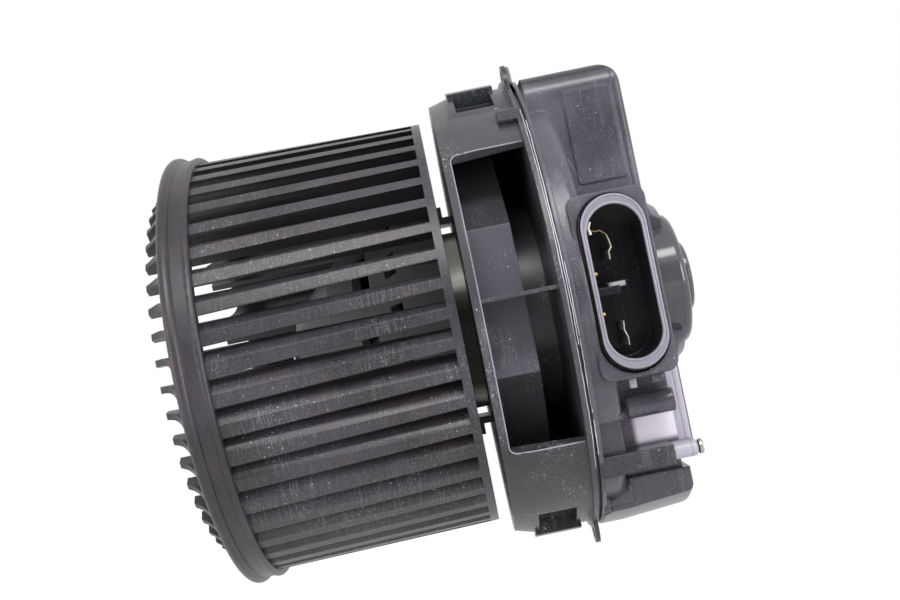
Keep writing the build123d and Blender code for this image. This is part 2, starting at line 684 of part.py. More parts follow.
# Ears of the body and lid, one at each screw
with BuildSketch() as screw_ears:
    for screw_y, screw_z in SCREW_CENTRES:
        ear_foot_y = BODY_NEAR_Y + 4 if screw_y < 0 else BODY_FAR_Y - 4
        with Locations(((screw_y + ear_foot_y) / 2, screw_z)):
            SlotOverall(abs(screw_y - ear_foot_y) + 2 * POST_RADIUS, 2 * POST_RADIUS)

# Hood under the body: a slice of a stepped drum, then the smaller one that hollows it
with BuildPart() as hood_outer:
    with BuildSketch(Plane.XZ):
        with BuildLine():
            Polyline(
                (HOOD_REAR_X, HOOD_REAR_RADIUS - HOOD_CORNER),
                (HOOD_REAR_X, 0),
                (HOOD_FRONT_X, 0),
                (HOOD_FRONT_X, HOOD_FRONT_RADIUS),
                (HOOD_MIDDLE_X, HOOD_FRONT_RADIUS),
                (HOOD_REAR_X - HOOD_CORNER, HOOD_REAR_RADIUS),
            )
            ThreePointArc(
                (HOOD_REAR_X - HOOD_CORNER, HOOD_REAR_RADIUS),
                (HOOD_REAR_X - HOOD_CORNER * 0.293, HOOD_REAR_RADIUS - HOOD_CORNER * 0.293),
                (HOOD_REAR_X, HOOD_REAR_RADIUS - HOOD_CORNER),
            )
        make_face()
    revolve(axis=Axis.X)
    with BuildSketch(Plane.XY.offset(HOOD_TOP_Z)):
        with BuildLine():
            Polyline(
                (HOOD_FRONT_X, HOOD_NEAR_Y + HOOD_FACET),
                (HOOD_FRONT_X + HOOD_FACET, HOOD_NEAR_Y),
                (HOOD_REAR_X, HOOD_NEAR_Y),
                (HOOD_REAR_X, -HOOD_NEAR_Y),
                (HOOD_FRONT_X, -HOOD_NEAR_Y),
                close=True,
            )
        make_face()
    extrude(amount=-HOOD_FRONT_RADIUS, mode=Mode.INTERSECT)
    with BuildSketch(Plane.XZ):
        with BuildLine():
            Polyline(
                (HOOD_FRONT_X - 1, HOOD_LOW_TOP_Z),
                (HOOD_BEND_X, HOOD_TOP_Z),
                (HOOD_FRONT_X - 1, HOOD_TOP_Z),
                close=True,
            )
        make_face()
    extrude(amount=-2 * HOOD_NEAR_Y, both=True, mode=Mode.SUBTRACT)

with BuildPart() as hood_inner:
    with BuildSketch(Plane.XZ):
        with BuildLine():
            Polyline(
                (HOOD_BEND_X, 0),
                (HOOD_BEND_X, HOOD_FRONT_RADIUS - 2 * HOOD_WALL),
                (HOOD_REAR_X - 2 * HOOD_WALL, HOOD_REAR_RADIUS - HOOD_WALL),
                (HOOD_REAR_X - 2 * HOOD_WALL, 0),
                close=True,
            )
        make_face()
    revolve(axis=Axis.X)
    with BuildSketch(Plane.XY.offset(HOOD_TOP_Z - HOOD_WALL)):
        with Locations((HOOD_BEND_X, 0)):
            Rectangle(2 * HOOD_REAR_X, -2 * (HOOD_NEAR_Y + HOOD_WALL))
    extrude(amount=-HOOD_FRONT_RADIUS, mode=Mode.INTERSECT)

# Rear cover: rim, drum, body, duct, plug boss, bar, shelf, niche and hood
boss_centre = ((BOSS_X[0] + BOSS_X[1]) / 2, (BOSS_Z[0] + BOSS_Z[1]) / 2)
boss_near_y = SOCKET_FACE_Y + SOCKET_PROUD
socket_rear_y = SOCKET_FACE_Y + SOCKET_DEPTH
clear = 2 * SEAT_GAP
with BuildPart() as rear_cover:
    with BuildSketch(Plane.XZ):
        with BuildLine():
            Polyline(
                (COVER_FRONT_X, COVER_RADIUS - COVER_WALL),
                (COVER_FRONT_X, COVER_RADIUS + 1),
                (COVER_RIM_X, COVER_RADIUS + 1),
                (COVER_RIM_X, COVER_RIM_RADIUS),
                (COVER_RIM_X + COVER_RIM, COVER_RIM_RADIUS),
                (COVER_RIM_X + COVER_RIM, COVER_RADIUS),
                (COVER_REAR_X - COVER_EDGE, COVER_RADIUS),
            )
            ThreePointArc(
                (COVER_REAR_X - COVER_EDGE, COVER_RADIUS),
                (COVER_REAR_X - COVER_EDGE * 0.293, COVER_RADIUS - COVER_EDGE * 0.293),
                (COVER_REAR_X, COVER_RADIUS - COVER_EDGE),
            )
            Polyline(
                (COVER_REAR_X, COVER_RADIUS - COVER_EDGE),
                (COVER_REAR_X, BARREL_RADIUS + 1),
                (COVER_REAR_X - COVER_WALL, BARREL_RADIUS + 1),
                (COVER_REAR_X - COVER_WALL, COVER_RADIUS - COVER_WALL),
                (COVER_FRONT_X, COVER_RADIUS - COVER_WALL),
            )
        make_face()
    revolve(axis=Axis.X)
    with BuildSketch(section_at(COVER_REAR_X - COVER_WALL)):
        add(body_outline.sketch)
    extrude(amount=BODY_REAR_X - COVER_REAR_X + COVER_WALL)
    with BuildSketch(Plane.XZ.offset(-BODY_NEAR_Y - COVER_WALL)):
        with Locations(boss_centre):
            RectangleRounded(BOSS_X[1] - BOSS_X[0], BOSS_Z[1] - BOSS_Z[0], BOSS_CORNER)
    extrude(amount=BODY_NEAR_Y + COVER_WALL - boss_near_y)
    with BuildSketch(section_at(COVER_RIM_X + COVER_RIM)):
        add(body_outline.sketch)
        Circle(COVER_RADIUS - COVER_WALL / 2, mode=Mode.SUBTRACT)
    extrude(amount=COVER_REAR_X - COVER_RIM_X - COVER_RIM)
    with BuildSketch(Plane.XZ.offset(-BODY_NEAR_Y - COVER_WALL / 2)):
        with Locations(((PANEL_X[0] + PANEL_X[1]) / 2, (PANEL_Z[0] + PANEL_Z[1]) / 2)):
            RectangleRounded(PANEL_X[1] - PANEL_X[0], PANEL_Z[1] - PANEL_Z[0], 1.0)
    extrude(amount=COVER_WALL / 2 + PANEL_PROUD)
    with BuildSketch(section_at(POST_FRONT_X)):
        add(screw_ears.sketch)
    extrude(amount=BODY_REAR_X - POST_FRONT_X)
    with BuildSketch(section_at(BAR_X[0])):
        with Locations(BAR_CENTRE):
            Circle(BAR_RADIUS)
    extrude(amount=BAR_X[1] - BAR_X[0])
    with BuildSketch(section_at(BAR_X[0] + 1)):
        with Locations(((BAR_CENTRE[0] + BODY_NEAR_Y + 1) / 2, BAR_CENTRE[1])):
            Rectangle(BODY_NEAR_Y + 1 - BAR_CENTRE[0], BAR_WEB)
    extrude(amount=BAR_X[1] - BAR_X[0] - 2)
    shelf_middle_x = (SHELF_X[0] + SHELF_X[1]) / 2
    shelf_near = SHELF_NEAR_Y + SHELF_WALL
    with BuildSketch(Plane.XY.offset(SHELF_Z - SHELF_WALL)):
        with Locations((shelf_middle_x, (SHELF_NEAR_Y + BODY_NEAR_Y + 1) / 2)):
            Rectangle(SHELF_X[1] - SHELF_X[0], BODY_NEAR_Y + 1 - SHELF_NEAR_Y)
    extrude(amount=SHELF_WALL)
    with BuildSketch(Plane.XZ.offset(-shelf_near)):
        with Locations((shelf_middle_x, SHELF_Z - SHELF_DROP / 2)):
            Rectangle(SHELF_X[1] - SHELF_X[0], SHELF_DROP)
    extrude(amount=SHELF_WALL)
    add(hood_outer.part)
    neck_middle_x = (HOOD_BEND_X + BODY_REAR_X) / 2
    with BuildSketch(Plane.XY.offset(BODY_BOTTOM_Z + 1)):
        with Locations((neck_middle_x, 0)):
            Rectangle(BODY_REAR_X - HOOD_BEND_X - 1, 2 * NECK_HALF)
    extrude(amount=HOOD_TOP_Z - BODY_BOTTOM_Z - 2)
    add(hood_inner.part, mode=Mode.SUBTRACT)
    with BuildSketch(Plane.XY.offset(BODY_BOTTOM_Z + COVER_WALL + 1)):
        with Locations((neck_middle_x, 0)):
            Rectangle(BODY_REAR_X - HOOD_BEND_X - 1 - 2 * COVER_WALL, 2 * (NECK_HALF - COVER_WALL))
    extrude(amount=HOOD_TOP_Z - BODY_BOTTOM_Z - COVER_WALL - HOOD_WALL - 2, mode=Mode.SUBTRACT)
    top_corner(BODY_ROUND)
    with BuildSketch(section_at(COVER_FRONT_X - 1)):
        add(body_inside.sketch)
        Circle(COVER_RADIUS - COVER_WALL - 1, mode=Mode.INTERSECT)
    extrude(amount=COVER_REAR_X - COVER_FRONT_X + 2, mode=Mode.SUBTRACT)
    add(body_hollow.part, mode=Mode.SUBTRACT)
    niche_depth = COVER_RADIUS + NICHE_FLOOR_Y
    with BuildSketch(section_at(COVER_RIM_X)):
        with Locations((NICHE_FLOOR_Y - niche_depth / 2 + SHELF_WALL, (NICHE_TOP_Z + SHELF_Z) / 2)):
            Rectangle(niche_depth, NICHE_TOP_Z - SHELF_Z + 2 * SHELF_WALL)
        Circle(COVER_RADIUS - COVER_WALL / 2, mode=Mode.INTERSECT)
    extrude(amount=COVER_REAR_X - COVER_RIM_X)
    with BuildSketch(section_at(COVER_RIM_X + COVER_RIM)):
        with Locations((NICHE_FLOOR_Y - niche_depth / 2, (NICHE_TOP_Z + SHELF_Z) / 2)):
            Rectangle(niche_depth, NICHE_TOP_Z - SHELF_Z)
    extrude(amount=COVER_REAR_X - COVER_RIM_X - COVER_RIM + 1, mode=Mode.SUBTRACT)
    with BuildSketch(Plane.XZ.offset(-BODY_NEAR_Y - COVER_WALL - 0.2)):
        with Locations(boss_centre):
            RectangleRounded(BOSS_X[1] - BOSS_X[0], BOSS_Z[1] - BOSS_Z[0], BOSS_CORNER)
    extrude(amount=BODY_NEAR_Y + COVER_WALL + 0.2 - socket_rear_y - 1)
    with BuildSketch(Plane.XZ.offset(-socket_rear_y)):
        with Locations(Location((SOCKET_X, SOCKET_Z), 90)):
            SlotOverall(SOCKET_OUTSIDE[0] + clear, SOCKET_OUTSIDE[1] + clear)
    extrude(amount=SOCKET_DEPTH + 5, mode=Mode.SUBTRACT)
    with BuildSketch(Plane.XZ.offset(-boss_near_y - GROOVE_DEPTH)):
        with Locations(Location(GROOVE_CENTRE, 90)):
            SlotOverall(*GROOVE)
    extrude(amount=GROOVE_DEPTH + 5, mode=Mode.SUBTRACT)
    with BuildSketch(section_at(BODY_REAR_X)):
        with Locations(*SCREW_CENTRES):
            Circle(SCREW_RADIUS + RUNNING_FIT)
    extrude(amount=-SCREW_LENGTH - 1, mode=Mode.SUBTRACT)
finish(rear_cover, "rear_cover", BLACK)

# Lid on the rear of the body, with an ear over each screw post
with BuildPart() as rear_lid:
    with BuildSketch(section_at(BODY_REAR_X)):
        add(body_outline.sketch)
        add(screw_ears.sketch)
    extrude(amount=LID_THICKNESS)
    chamfer(rear_lid.faces().sort_by(Axis.X)[-1].edges(), length=LID_EDGE)
    top_corner(BODY_ROUND)
    with BuildSketch(section_at(BODY_REAR_X)):
        Circle(CAP_RADIUS - CAP_WALL)
    extrude(amount=LID_THICKNESS, mode=Mode.SUBTRACT)
    with BuildSketch(section_at(BODY_REAR_X)):
        with Locations(*SCREW_CENTRES):
            Circle(SCREW_RADIUS + SEAT_GAP)
    extrude(amount=LID_THICKNESS, mode=Mode.SUBTRACT)
finish(rear_lid, "rear_lid", BLACK)

# Screws that hold the lid and the body
with BuildPart() as cover_screws:
    with BuildSketch(section_at(lid_rear_x - SCREW_LENGTH)):
        with Locations(*SCREW_CENTRES):
            Circle(SCREW_RADIUS)
    extrude(amount=SCREW_LENGTH)
    with BuildSketch(section_at(lid_rear_x)):
        with Locations(*SCREW_CENTRES):
            Circle(SCREW_HEAD_RADIUS)
    extrude(amount=SCREW_HEAD_HEIGHT)
    head_rims = cover_screws.edges().filter_by(GeomType.CIRCLE).group_by(Axis.X)[-1]
    fillet(head_rims, SCREW_HEAD_HEIGHT * 0.45)
    with BuildSketch(section_at(lid_rear_x + SCREW_HEAD_HEIGHT - 1.2)):
        with Locations(*SCREW_CENTRES):
            Rectangle(4.0, 0.9)
            Rectangle(0.9, 4.0)
    extrude(amount=SCREW_HEAD_HEIGHT, mode=Mode.SUBTRACT)
finish(cover_screws, "cover_screws", STEEL)

# Plug socket, with the key between its two blades
inside_left = SOCKET_X - SOCKET_INSIDE[1] / 2
floor_y = socket_rear_y - SOCKET_FLOOR
with BuildPart() as connector_socket:
    with BuildSketch(Plane.XZ.offset(-SOCKET_FACE_Y)):
        with Locations(Location((SOCKET_X, SOCKET_Z), 90)):
            SlotOverall(*SOCKET_OUTSIDE)
    extrude(amount=-SOCKET_DEPTH)
    with BuildSketch(Plane.XZ.offset(-SOCKET_FACE_Y)):
        with Locations(Location((SOCKET_X, SOCKET_Z), 90)):
            SlotOverall(*SOCKET_INSIDE)
    extrude(amount=SOCKET_FLOOR - SOCKET_DEPTH, mode=Mode.SUBTRACT)
    with BuildSketch(Plane.XZ.offset(-floor_y)):
        with Locations((inside_left + KEY_REACH / 2 - 0.5, 0)):
            Rectangle(KEY_REACH + 1, KEY_WIDTH)
    extrude(amount=floor_y - TERMINAL_TIP_Y + 3)
    with BuildSketch(Plane.XZ.offset(-floor_y)):
        for place in TERMINAL_Z:
            with Locations((SOCKET_X, place)):
                Rectangle(TERMINAL_THICKNESS + clear, TERMINAL_WIDTH + clear)
    extrude(amount=-SOCKET_FLOOR, mode=Mode.SUBTRACT)
finish(connector_socket, "connector_socket", BLACK)

# Blade terminals
for name, place in (("terminal_upper", TERMINAL_Z[0]), ("terminal_lower", TERMINAL_Z[1])):
    with BuildPart() as terminal:
        with BuildSketch(Plane.XZ.offset(-TERMINAL_TIP_Y)):
            with Locations((SOCKET_X, place)):
                Rectangle(TERMINAL_THICKNESS, TERMINAL_WIDTH)
        extrude(amount=TERMINAL_TIP_Y - socket_rear_y)
        chamfer(terminal.faces().sort_by(Axis.Y)[0].edges(), length=TERMINAL_THICKNESS * 0.35)
    finish(terminal, name, STEEL)

# Cap over the motor's rear end
with BuildPart() as motor_cap:
    with BuildSketch(Plane.XZ):
        with BuildLine():
            Polyline(
                (lid_rear_x, CAP_RADIUS - CAP_WALL),
                (lid_rear_x, CAP_RADIUS),
                (CAP_REAR_X - CAP_EDGE, CAP_RADIUS),
            )
            ThreePointArc(
                (CAP_REAR_X - CAP_EDGE, CAP_RADIUS),
                (CAP_REAR_X - CAP_EDGE * 0.293, CAP_RADIUS - CAP_EDGE * 0.293),
                (CAP_REAR_X, CAP_RADIUS - CAP_EDGE),
            )
            Polyline(
                (CAP_REAR_X, CAP_RADIUS - CAP_EDGE),
                (CAP_REAR_X, CAP_STEP_RADIUS),
                (CAP_REAR_X + CAP_STEP - 1, CAP_STEP_RADIUS),
                (CAP_REAR_X + CAP_STEP, CAP_STEP_RADIUS - 1),
                (CAP_REAR_X + CAP_STEP, 0),
                (CAP_REAR_X + CAP_STEP - CAP_WALL, 0),
                (CAP_REAR_X + CAP_STEP - CAP_WALL, CAP_STEP_RADIUS - CAP_WALL),
                (CAP_REAR_X - CAP_WALL, CAP_STEP_RADIUS - CAP_WALL),
                (CAP_REAR_X - CAP_WALL, CAP_RADIUS - CAP_EDGE),
                (CAP_REAR_X - CAP_EDGE, CAP_RADIUS - CAP_WALL),
                (lid_rear_x, CAP_RADIUS - CAP_WALL),
            )
        make_face()
    revolve(axis=Axis.X)
finish(motor_cap, "motor_cap", BLACK)

# Collar round the cap, open on the socket side
with BuildPart() as cap_collar:
    with BuildSketch(Plane.XZ):
        with BuildLine():
            Polyline(
                (lid_rear_x, CAP_RADIUS),
                (lid_rear_x, COLLAR_RADIUS),
                (COLLAR_REAR_X - 3.5, COLLAR_RADIUS),
                (COLLAR_REAR_X, COLLAR_INNER),
                (COLLAR_REAR_X, CAP_RADIUS),
                close=True,
            )
        make_face()
    revolve(axis=Axis.X)
    with BuildSketch(section_at(lid_rear_x)):
        sector(CAP_RADIUS - 1, COLLAR_RADIUS + 1, -COLLAR_OPENING, COLLAR_OPENING)
    extrude(amount=COLLAR_REAR_X - lid_rear_x, mode=Mode.SUBTRACT)
finish(cap_collar, "cap_collar", BLACK)
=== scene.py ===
# %% [markdown]
# A blower motor from a car's cabin heater. A squirrel-cage fan wheel with forty-eight curved blades sits
# on a small electric motor, which a moulded holder carries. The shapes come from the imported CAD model.
# This file gives them their finishes, adds the small moulded details, and sets up light and camera.

# %% Load the frame
from math import cos, pi, radians, sin

import bmesh
import bpy
import numpy as np
from mathutils import Matrix, Vector


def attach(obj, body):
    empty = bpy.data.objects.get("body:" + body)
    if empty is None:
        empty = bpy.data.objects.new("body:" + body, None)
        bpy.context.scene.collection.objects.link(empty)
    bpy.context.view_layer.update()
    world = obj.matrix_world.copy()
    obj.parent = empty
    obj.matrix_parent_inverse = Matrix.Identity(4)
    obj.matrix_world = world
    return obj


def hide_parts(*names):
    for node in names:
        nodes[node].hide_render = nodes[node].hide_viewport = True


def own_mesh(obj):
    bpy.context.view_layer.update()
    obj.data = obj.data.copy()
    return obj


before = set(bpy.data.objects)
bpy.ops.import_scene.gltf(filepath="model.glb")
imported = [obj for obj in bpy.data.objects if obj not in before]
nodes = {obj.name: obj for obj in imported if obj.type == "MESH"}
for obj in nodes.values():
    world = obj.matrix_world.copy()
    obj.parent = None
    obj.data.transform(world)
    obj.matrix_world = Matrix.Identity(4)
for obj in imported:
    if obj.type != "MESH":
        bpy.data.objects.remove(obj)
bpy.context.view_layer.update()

print("CAD nodes:", len(nodes))

# %% [markdown]
# The photograph looks straight at the side of the blower from about half a metre away. The fan axis
# rises to the right by 11.5 degrees, so the camera is rolled by that angle. Its three axes are worked
# out from pitch and roll and become the columns of its matrix, which is exact, where a constraint that
# tracks a target would lose the roll.

# %% Camera
CAMERA_PLACE = Vector((-0.03391, -0.460, 0.0))
PITCH = radians(1.06)
ROLL = radians(11.52)
LENS_PIXELS = 1218.4
PICTURE_WIDTH = 900
SENSOR_WIDTH = 36.0
NEAREST_SEEN = 0.01

forward = Vector((0, cos(PITCH), sin(PITCH)))
level_up = Vector((0, -sin(PITCH), cos(PITCH)))
right = Vector((1, 0, 0)) * cos(ROLL) - level_up * sin(ROLL)
up = Vector((1, 0, 0)) * sin(ROLL) + level_up * cos(ROLL)

camera_data = bpy.data.cameras.new("camera")
camera_data.sensor_width = SENSOR_WIDTH
camera_data.lens = SENSOR_WIDTH * LENS_PIXELS / PICTURE_WIDTH
camera_data.clip_start = NEAREST_SEEN
camera = bpy.data.objects.new("camera", camera_data)
bpy.context.collection.objects.link(camera)
axes = Matrix((right, up, -forward)).transposed()
camera.matrix_world = Matrix.Translation(CAMERA_PLACE) @ axes.to_4x4()
bpy.context.scene.camera = camera
print("lens", round(camera_data.lens, 2), "mm")

# %% [markdown]
# Shader nodes are easier to read when they are made by a few short helpers. Each helper adds one node,
# sets its values and links its inputs, and returns the output socket for the next one to use.

# %% Shader helpers
def add_node(tree, kind, inputs=None, **values):
    """Add a node, set its properties, and link or fill the inputs given by name or number."""
    node = tree.nodes.new(kind)
    for name, value in values.items():
        setattr(node, name, value)
    for key, value in (inputs or {}).items():
        if isinstance(value, bpy.types.NodeSocket):
            tree.links.new(value, node.inputs[key])
        else:
            node.inputs[key].default_value = value
    return node


def arithmetic(tree, operation, a, b=0.0, c=0.0):
    """Do one arithmetic operation on sockets or numbers."""
    return add_node(tree, "ShaderNodeMath", {0: a, 1: b, 2: c}, operation=operation).outputs[0]


def noise(tree, place, scale, detail=2.0, roughness=0.5):
    """Give smooth random values from 0 to 1, with bumps about one over scale metres wide."""
    inputs = {"Vector": place, "Scale": scale, "Detail": detail, "Roughness": roughness}
    return add_node(tree, "ShaderNodeTexNoise", inputs).outputs[0]


def ramp(tree, value, low, high):
    """Map low..high to 0..1 smoothly and hold the ends."""
    inputs = {"Value": value, "From Min": low, "From Max": high}
    return add_node(tree, "ShaderNodeMapRange", inputs, interpolation_type="SMOOTHSTEP").outputs[0]


def mix(tree, factor, a, b):
    """Mix two colours."""
    node = add_node(tree, "ShaderNodeMix", data_type="RGBA")
    for socket, value in zip((node.inputs[0], node.inputs[6], node.inputs[7]), (factor, a, b)):
        if isinstance(value, bpy.types.NodeSocket):
            tree.links.new(value, socket)
        elif isinstance(value, tuple):
            socket.default_value = (*value, 1.0)
        else:
            socket.default_value = value
    return node.outputs[2]


def stretched(tree, place, scale):
    """Scale the place along each axis, to draw a pattern out into streaks."""
    return add_node(tree, "ShaderNodeMapping", {"Vector": place, "Scale": scale}).outputs[0]


def specks(tree, place, cells, radius, share):
    """Scatter round dots: one possible dot to a cell, with only a share of the cells used."""
    voronoi = add_node(tree, "ShaderNodeTexVoronoi", {"Vector": place, "Scale": cells})
    dot = arithmetic(tree, "LESS_THAN", voronoi.outputs["Distance"], radius)
    split = add_node(tree, "ShaderNodeSeparateColor", {"Color": voronoi.outputs["Color"]})
    used = arithmetic(tree, "LESS_THAN", split.outputs[0], share)
    return arithmetic(tree, "MULTIPLY", dot, used)


print("shader helpers are ready")

# %% [markdown]
# Wear and dirt are not the same all over, and painted light and painted shade lie only in some places. Two
# masks say where a finish or a painted light or shade changes: a box given in millimetres, and a shell given
# by its distance from the fan axis, which is the X axis of the frame.
# Painted maps could say it too, but masks made of nodes stay sharp at any size and need no picture.

# %% Masks
def inside(tree, place, low, high, soft=1.0):
    """Give 1 inside a box in millimetres and 0 outside, with a soft step at each of its six sides."""
    parts = add_node(tree, "ShaderNodeSeparateXYZ", {"Vector": place})
    result = 1.0
    for axis in range(3):
        start, end, fade = low[axis] / 1000, high[axis] / 1000, soft / 1000
        above = ramp(tree, parts.outputs[axis], start - fade, start + fade)
        beyond = ramp(tree, parts.outputs[axis], end - fade, end + fade)
        within = arithmetic(tree, "SUBTRACT", above, beyond)
        result = arithmetic(tree, "MULTIPLY", within, result)
    return result


def beyond_radius(tree, place, radius, soft=0.5):
    """Give 1 where the distance from the fan axis is more than a radius in millimetres."""
    across = stretched(tree, place, (0.0, 1.0, 1.0))
    distance = add_node(tree, "ShaderNodeVectorMath", {0: across}, operation="LENGTH").outputs["Value"]
    return ramp(tree, distance, (radius - soft) / 1000, (radius + soft) / 1000)


print("masks are ready")

# %% [markdown]
# Every black part here is injection-moulded polypropylene or nylon, and all of it has been handled. The
# tone drifts a little from place to place, hands and dust reach some patches and not others, and the
# dust itself is coarse and fine pale dots. Each of the three is a function of its own, so that every
# plastic can take as much of it as it needs.

# %% Tone, patches and dust
CLOUD_SCALE = 30.0
STAIN_SCALE = 70.0
PATCH_SCALE = 45.0
COARSE_DOTS = (520.0, 0.15, 0.3)
FINE_DOTS = (1300.0, 0.24, 0.3)
FINE_DOT_STRETCH = (1.7, 1.0, 1.3)
MOUTH_RING_X = (-0.1135, -0.1120)


def toned(tree, place, clouds, colour, tone, tint):
    """Vary a colour by the share tone up and down, and tint it where a second noise is high."""
    darker = tuple(c * (1 - tone) for c in colour)
    lighter = tuple(min(1.0, c * (1 + tone)) for c in colour)
    base = mix(tree, ramp(tree, clouds, 0.35, 0.65), darker, lighter)
    stains = ramp(tree, noise(tree, place, STAIN_SCALE, 4.0, 0.65), 0.5, 0.75)
    return mix(tree, stains, base, tuple(c * t for c, t in zip(colour, tint)))


def handled(tree, place, worn_beyond):
    """Give 1 in the patches that are touched; with a radius, only outside it and behind the wheel's ring."""
    patches = ramp(tree, noise(tree, place, PATCH_SCALE, 2.0), 0.42, 0.68)
    if worn_beyond:
        patches = arithmetic(tree, "MULTIPLY_ADD", patches, 0.7, 0.3)
        patches = arithmetic(tree, "MULTIPLY", patches, beyond_radius(tree, place, worn_beyond))
        along = add_node(tree, "ShaderNodeSeparateXYZ", {"Vector": place}).outputs[0]
        patches = arithmetic(tree, "MULTIPLY", patches, ramp(tree, along, *MOUTH_RING_X))
    return patches


def dust_dots(tree, place, patches):
    """Scatter coarse and fine dots over the patches."""
    coarse = specks(tree, place, *COARSE_DOTS)
    fine = specks(tree, stretched(tree, place, FINE_DOT_STRETCH), *FINE_DOTS)
    return arithmetic(tree, "MULTIPLY", arithmetic(tree, "MAXIMUM", coarse, fine), patches)


print("plastic's tone, patches and dust are ready")

# %% [markdown]
# The moulds were finished differently: some faces are spark-eroded and dull, others are polished, and
# both lie side by side on one part. So one function makes every plastic, and a list of areas, each a
# box with its own colour, paints a colour over it; most of these areas are painted light or painted shade.
# A fine noise raises the grain.
# The edges of a moulding are never sharp, and a Bevel node rounds them in the shading without new faces.

# %% Moulded plastic
PALE_GRAIN = 3.2
GLOSS_DRIFT = 0.16
SCUFFS_DULL = 0.35
BOX_SHINES = -0.55
GRAIN_STRENGTH = 0.6


def moulded(name, colour, rough, grain=1800.0, grain_depth=0.00002, dust=0.1,
            dust_colour=(0.5, 0.5, 0.52), scuffs=0.3, scuff_scale=(1600.0, 45.0, 45.0), tone=0.25,
            tint=(1.0, 1.0, 1.0), edge=0.0004, mottle=0.0, worn_beyond=0.0, areas=(), glossy_box=None):
    """Lay tone, areas, pale grain, scuffs and dust over a colour, raise the grain, soften the edges."""
    material = bpy.data.materials.new(name)
    material.use_nodes = True
    tree = material.node_tree
    shader = tree.nodes["Principled BSDF"]
    place = add_node(tree, "ShaderNodeTexCoord").outputs["Object"]
    clouds = noise(tree, place, CLOUD_SCALE, 3.0)
    grains = noise(tree, place, grain, 2.0)
    base = toned(tree, place, clouds, colour, tone, tint)
    for low, high, area_colour, soft in areas:
        base = mix(tree, inside(tree, place, low, high, soft), base, area_colour)
    pale = arithmetic(tree, "MULTIPLY", ramp(tree, grains, 0.42, 0.62), mottle)
    base = mix(tree, pale, base, tuple(c * PALE_GRAIN for c in colour))
    patches = handled(tree, place, worn_beyond)
    streaks = ramp(tree, noise(tree, stretched(tree, place, scuff_scale), 1.0, 3.0, 0.6), 0.48, 0.72)
    worn = arithmetic(tree, "MULTIPLY", streaks, patches)
    scuffed = arithmetic(tree, "MULTIPLY", worn, scuffs)
    base = mix(tree, scuffed, base, dust_colour)
    dusty = arithmetic(tree, "MULTIPLY", dust_dots(tree, place, patches), dust)
    base = mix(tree, dusty, base, dust_colour)
    tree.links.new(base, shader.inputs["Base Color"])
    uneven = arithmetic(tree, "MULTIPLY_ADD", clouds, GLOSS_DRIFT, rough - GLOSS_DRIFT / 2)
    dull = arithmetic(tree, "MULTIPLY_ADD", scuffed, SCUFFS_DULL, uneven)
    if glossy_box:
        shine = inside(tree, place, *glossy_box)
        kept = arithmetic(tree, "MULTIPLY_ADD", shine, BOX_SHINES, 1.0)
        dull = arithmetic(tree, "MULTIPLY", dull, kept)
    tree.links.new(dull, shader.inputs["Roughness"])
    rounded = add_node(tree, "ShaderNodeBevel", {"Radius": edge}, samples=4).outputs[0]
    bump_inputs = {"Height": grains, "Distance": grain_depth, "Strength": GRAIN_STRENGTH,
                   "Normal": rounded}
    bump = add_node(tree, "ShaderNodeBump", bump_inputs)
    tree.links.new(bump.outputs[0], shader.inputs["Normal"])
    return material


def dress(material, *names):
    """Give CAD nodes a material in every slot."""
    for name in names:
        data = nodes[name].data
        data.materials.clear()
        data.materials.append(material)
    print(material.name, "dresses", ", ".join(names))


# %% [markdown]
# The fan wheel is the darkest plastic, with a coarse grain. Its blades are scraped across where the wheel
# was lifted out of its housing, so its scuffs are short streaks that run round the wheel. They keep to
# the blades' outer edges, because nothing reaches the inside of the wheel.

# %% Wheel plastic
BLADE_EDGE_RADIUS = 72.0
wheel_plastic = moulded("wheel_plastic", (0.021, 0.020, 0.024), 0.38, grain=2600, grain_depth=0.00008,
                        dust=0.5, scuffs=0.17, scuff_scale=(3400.0, 170.0, 170.0), tone=0.4,
                        tint=(1.8, 1.2, 1.1), mottle=0.35, worn_beyond=BLADE_EDGE_RADIUS)
dress(wheel_plastic, "fan_wheel")

# %% [markdown]
# The holder is a shade lighter, with brighter dust. Shade is painted darker into the upper bayonet pocket,
# the small lug beside it and the drum's underside, and light is painted onto the middle facet of the inner
# wall, which is lighter and a little violet.
# Cutting the part up to give each face its own material would change the CAD mesh, so boxes pick the
# faces out instead. Each area is two corners of a box in millimetres, its colour and its soft edge.

# %% Holder plastic
# Painted shade for the upper pocket, the small lug and the underside; painted light on the middle facet.
LUG_PAINTED_SHADE = (0.010, 0.013, 0.019)
FACET_PAINTED_LIGHT = (0.095, 0.089, 0.112)
UNDERSIDE_PAINTED_SHADE = (0.022, 0.021, 0.024)
upper_pocket = ((-22, -46, 66), (1, -18, 86), LUG_PAINTED_SHADE, 1.0)
middle_facet = ((-25, -63, -21.1), (-9, -56, 28.5), FACET_PAINTED_LIGHT, 0.2)
small_lug = ((-6.6, -62, 60.3), (1.5, -40, 66.4), LUG_PAINTED_SHADE, 0.3)
underside = ((-34, -86, -92), (1, 0, -40), UNDERSIDE_PAINTED_SHADE, 5.0)
holder_plastic = moulded("holder_plastic", (0.047, 0.045, 0.052), 0.36, dust=0.75, scuffs=0.1,
                         dust_colour=(0.75, 0.75, 0.76), scuff_scale=(700.0, 700.0, 40.0), tone=0.15,
                         mottle=0.1, edge=0.0006,
                         areas=(upper_pocket, middle_facet, small_lug, underside))
dress(holder_plastic, "motor_holder", "brush_holder")
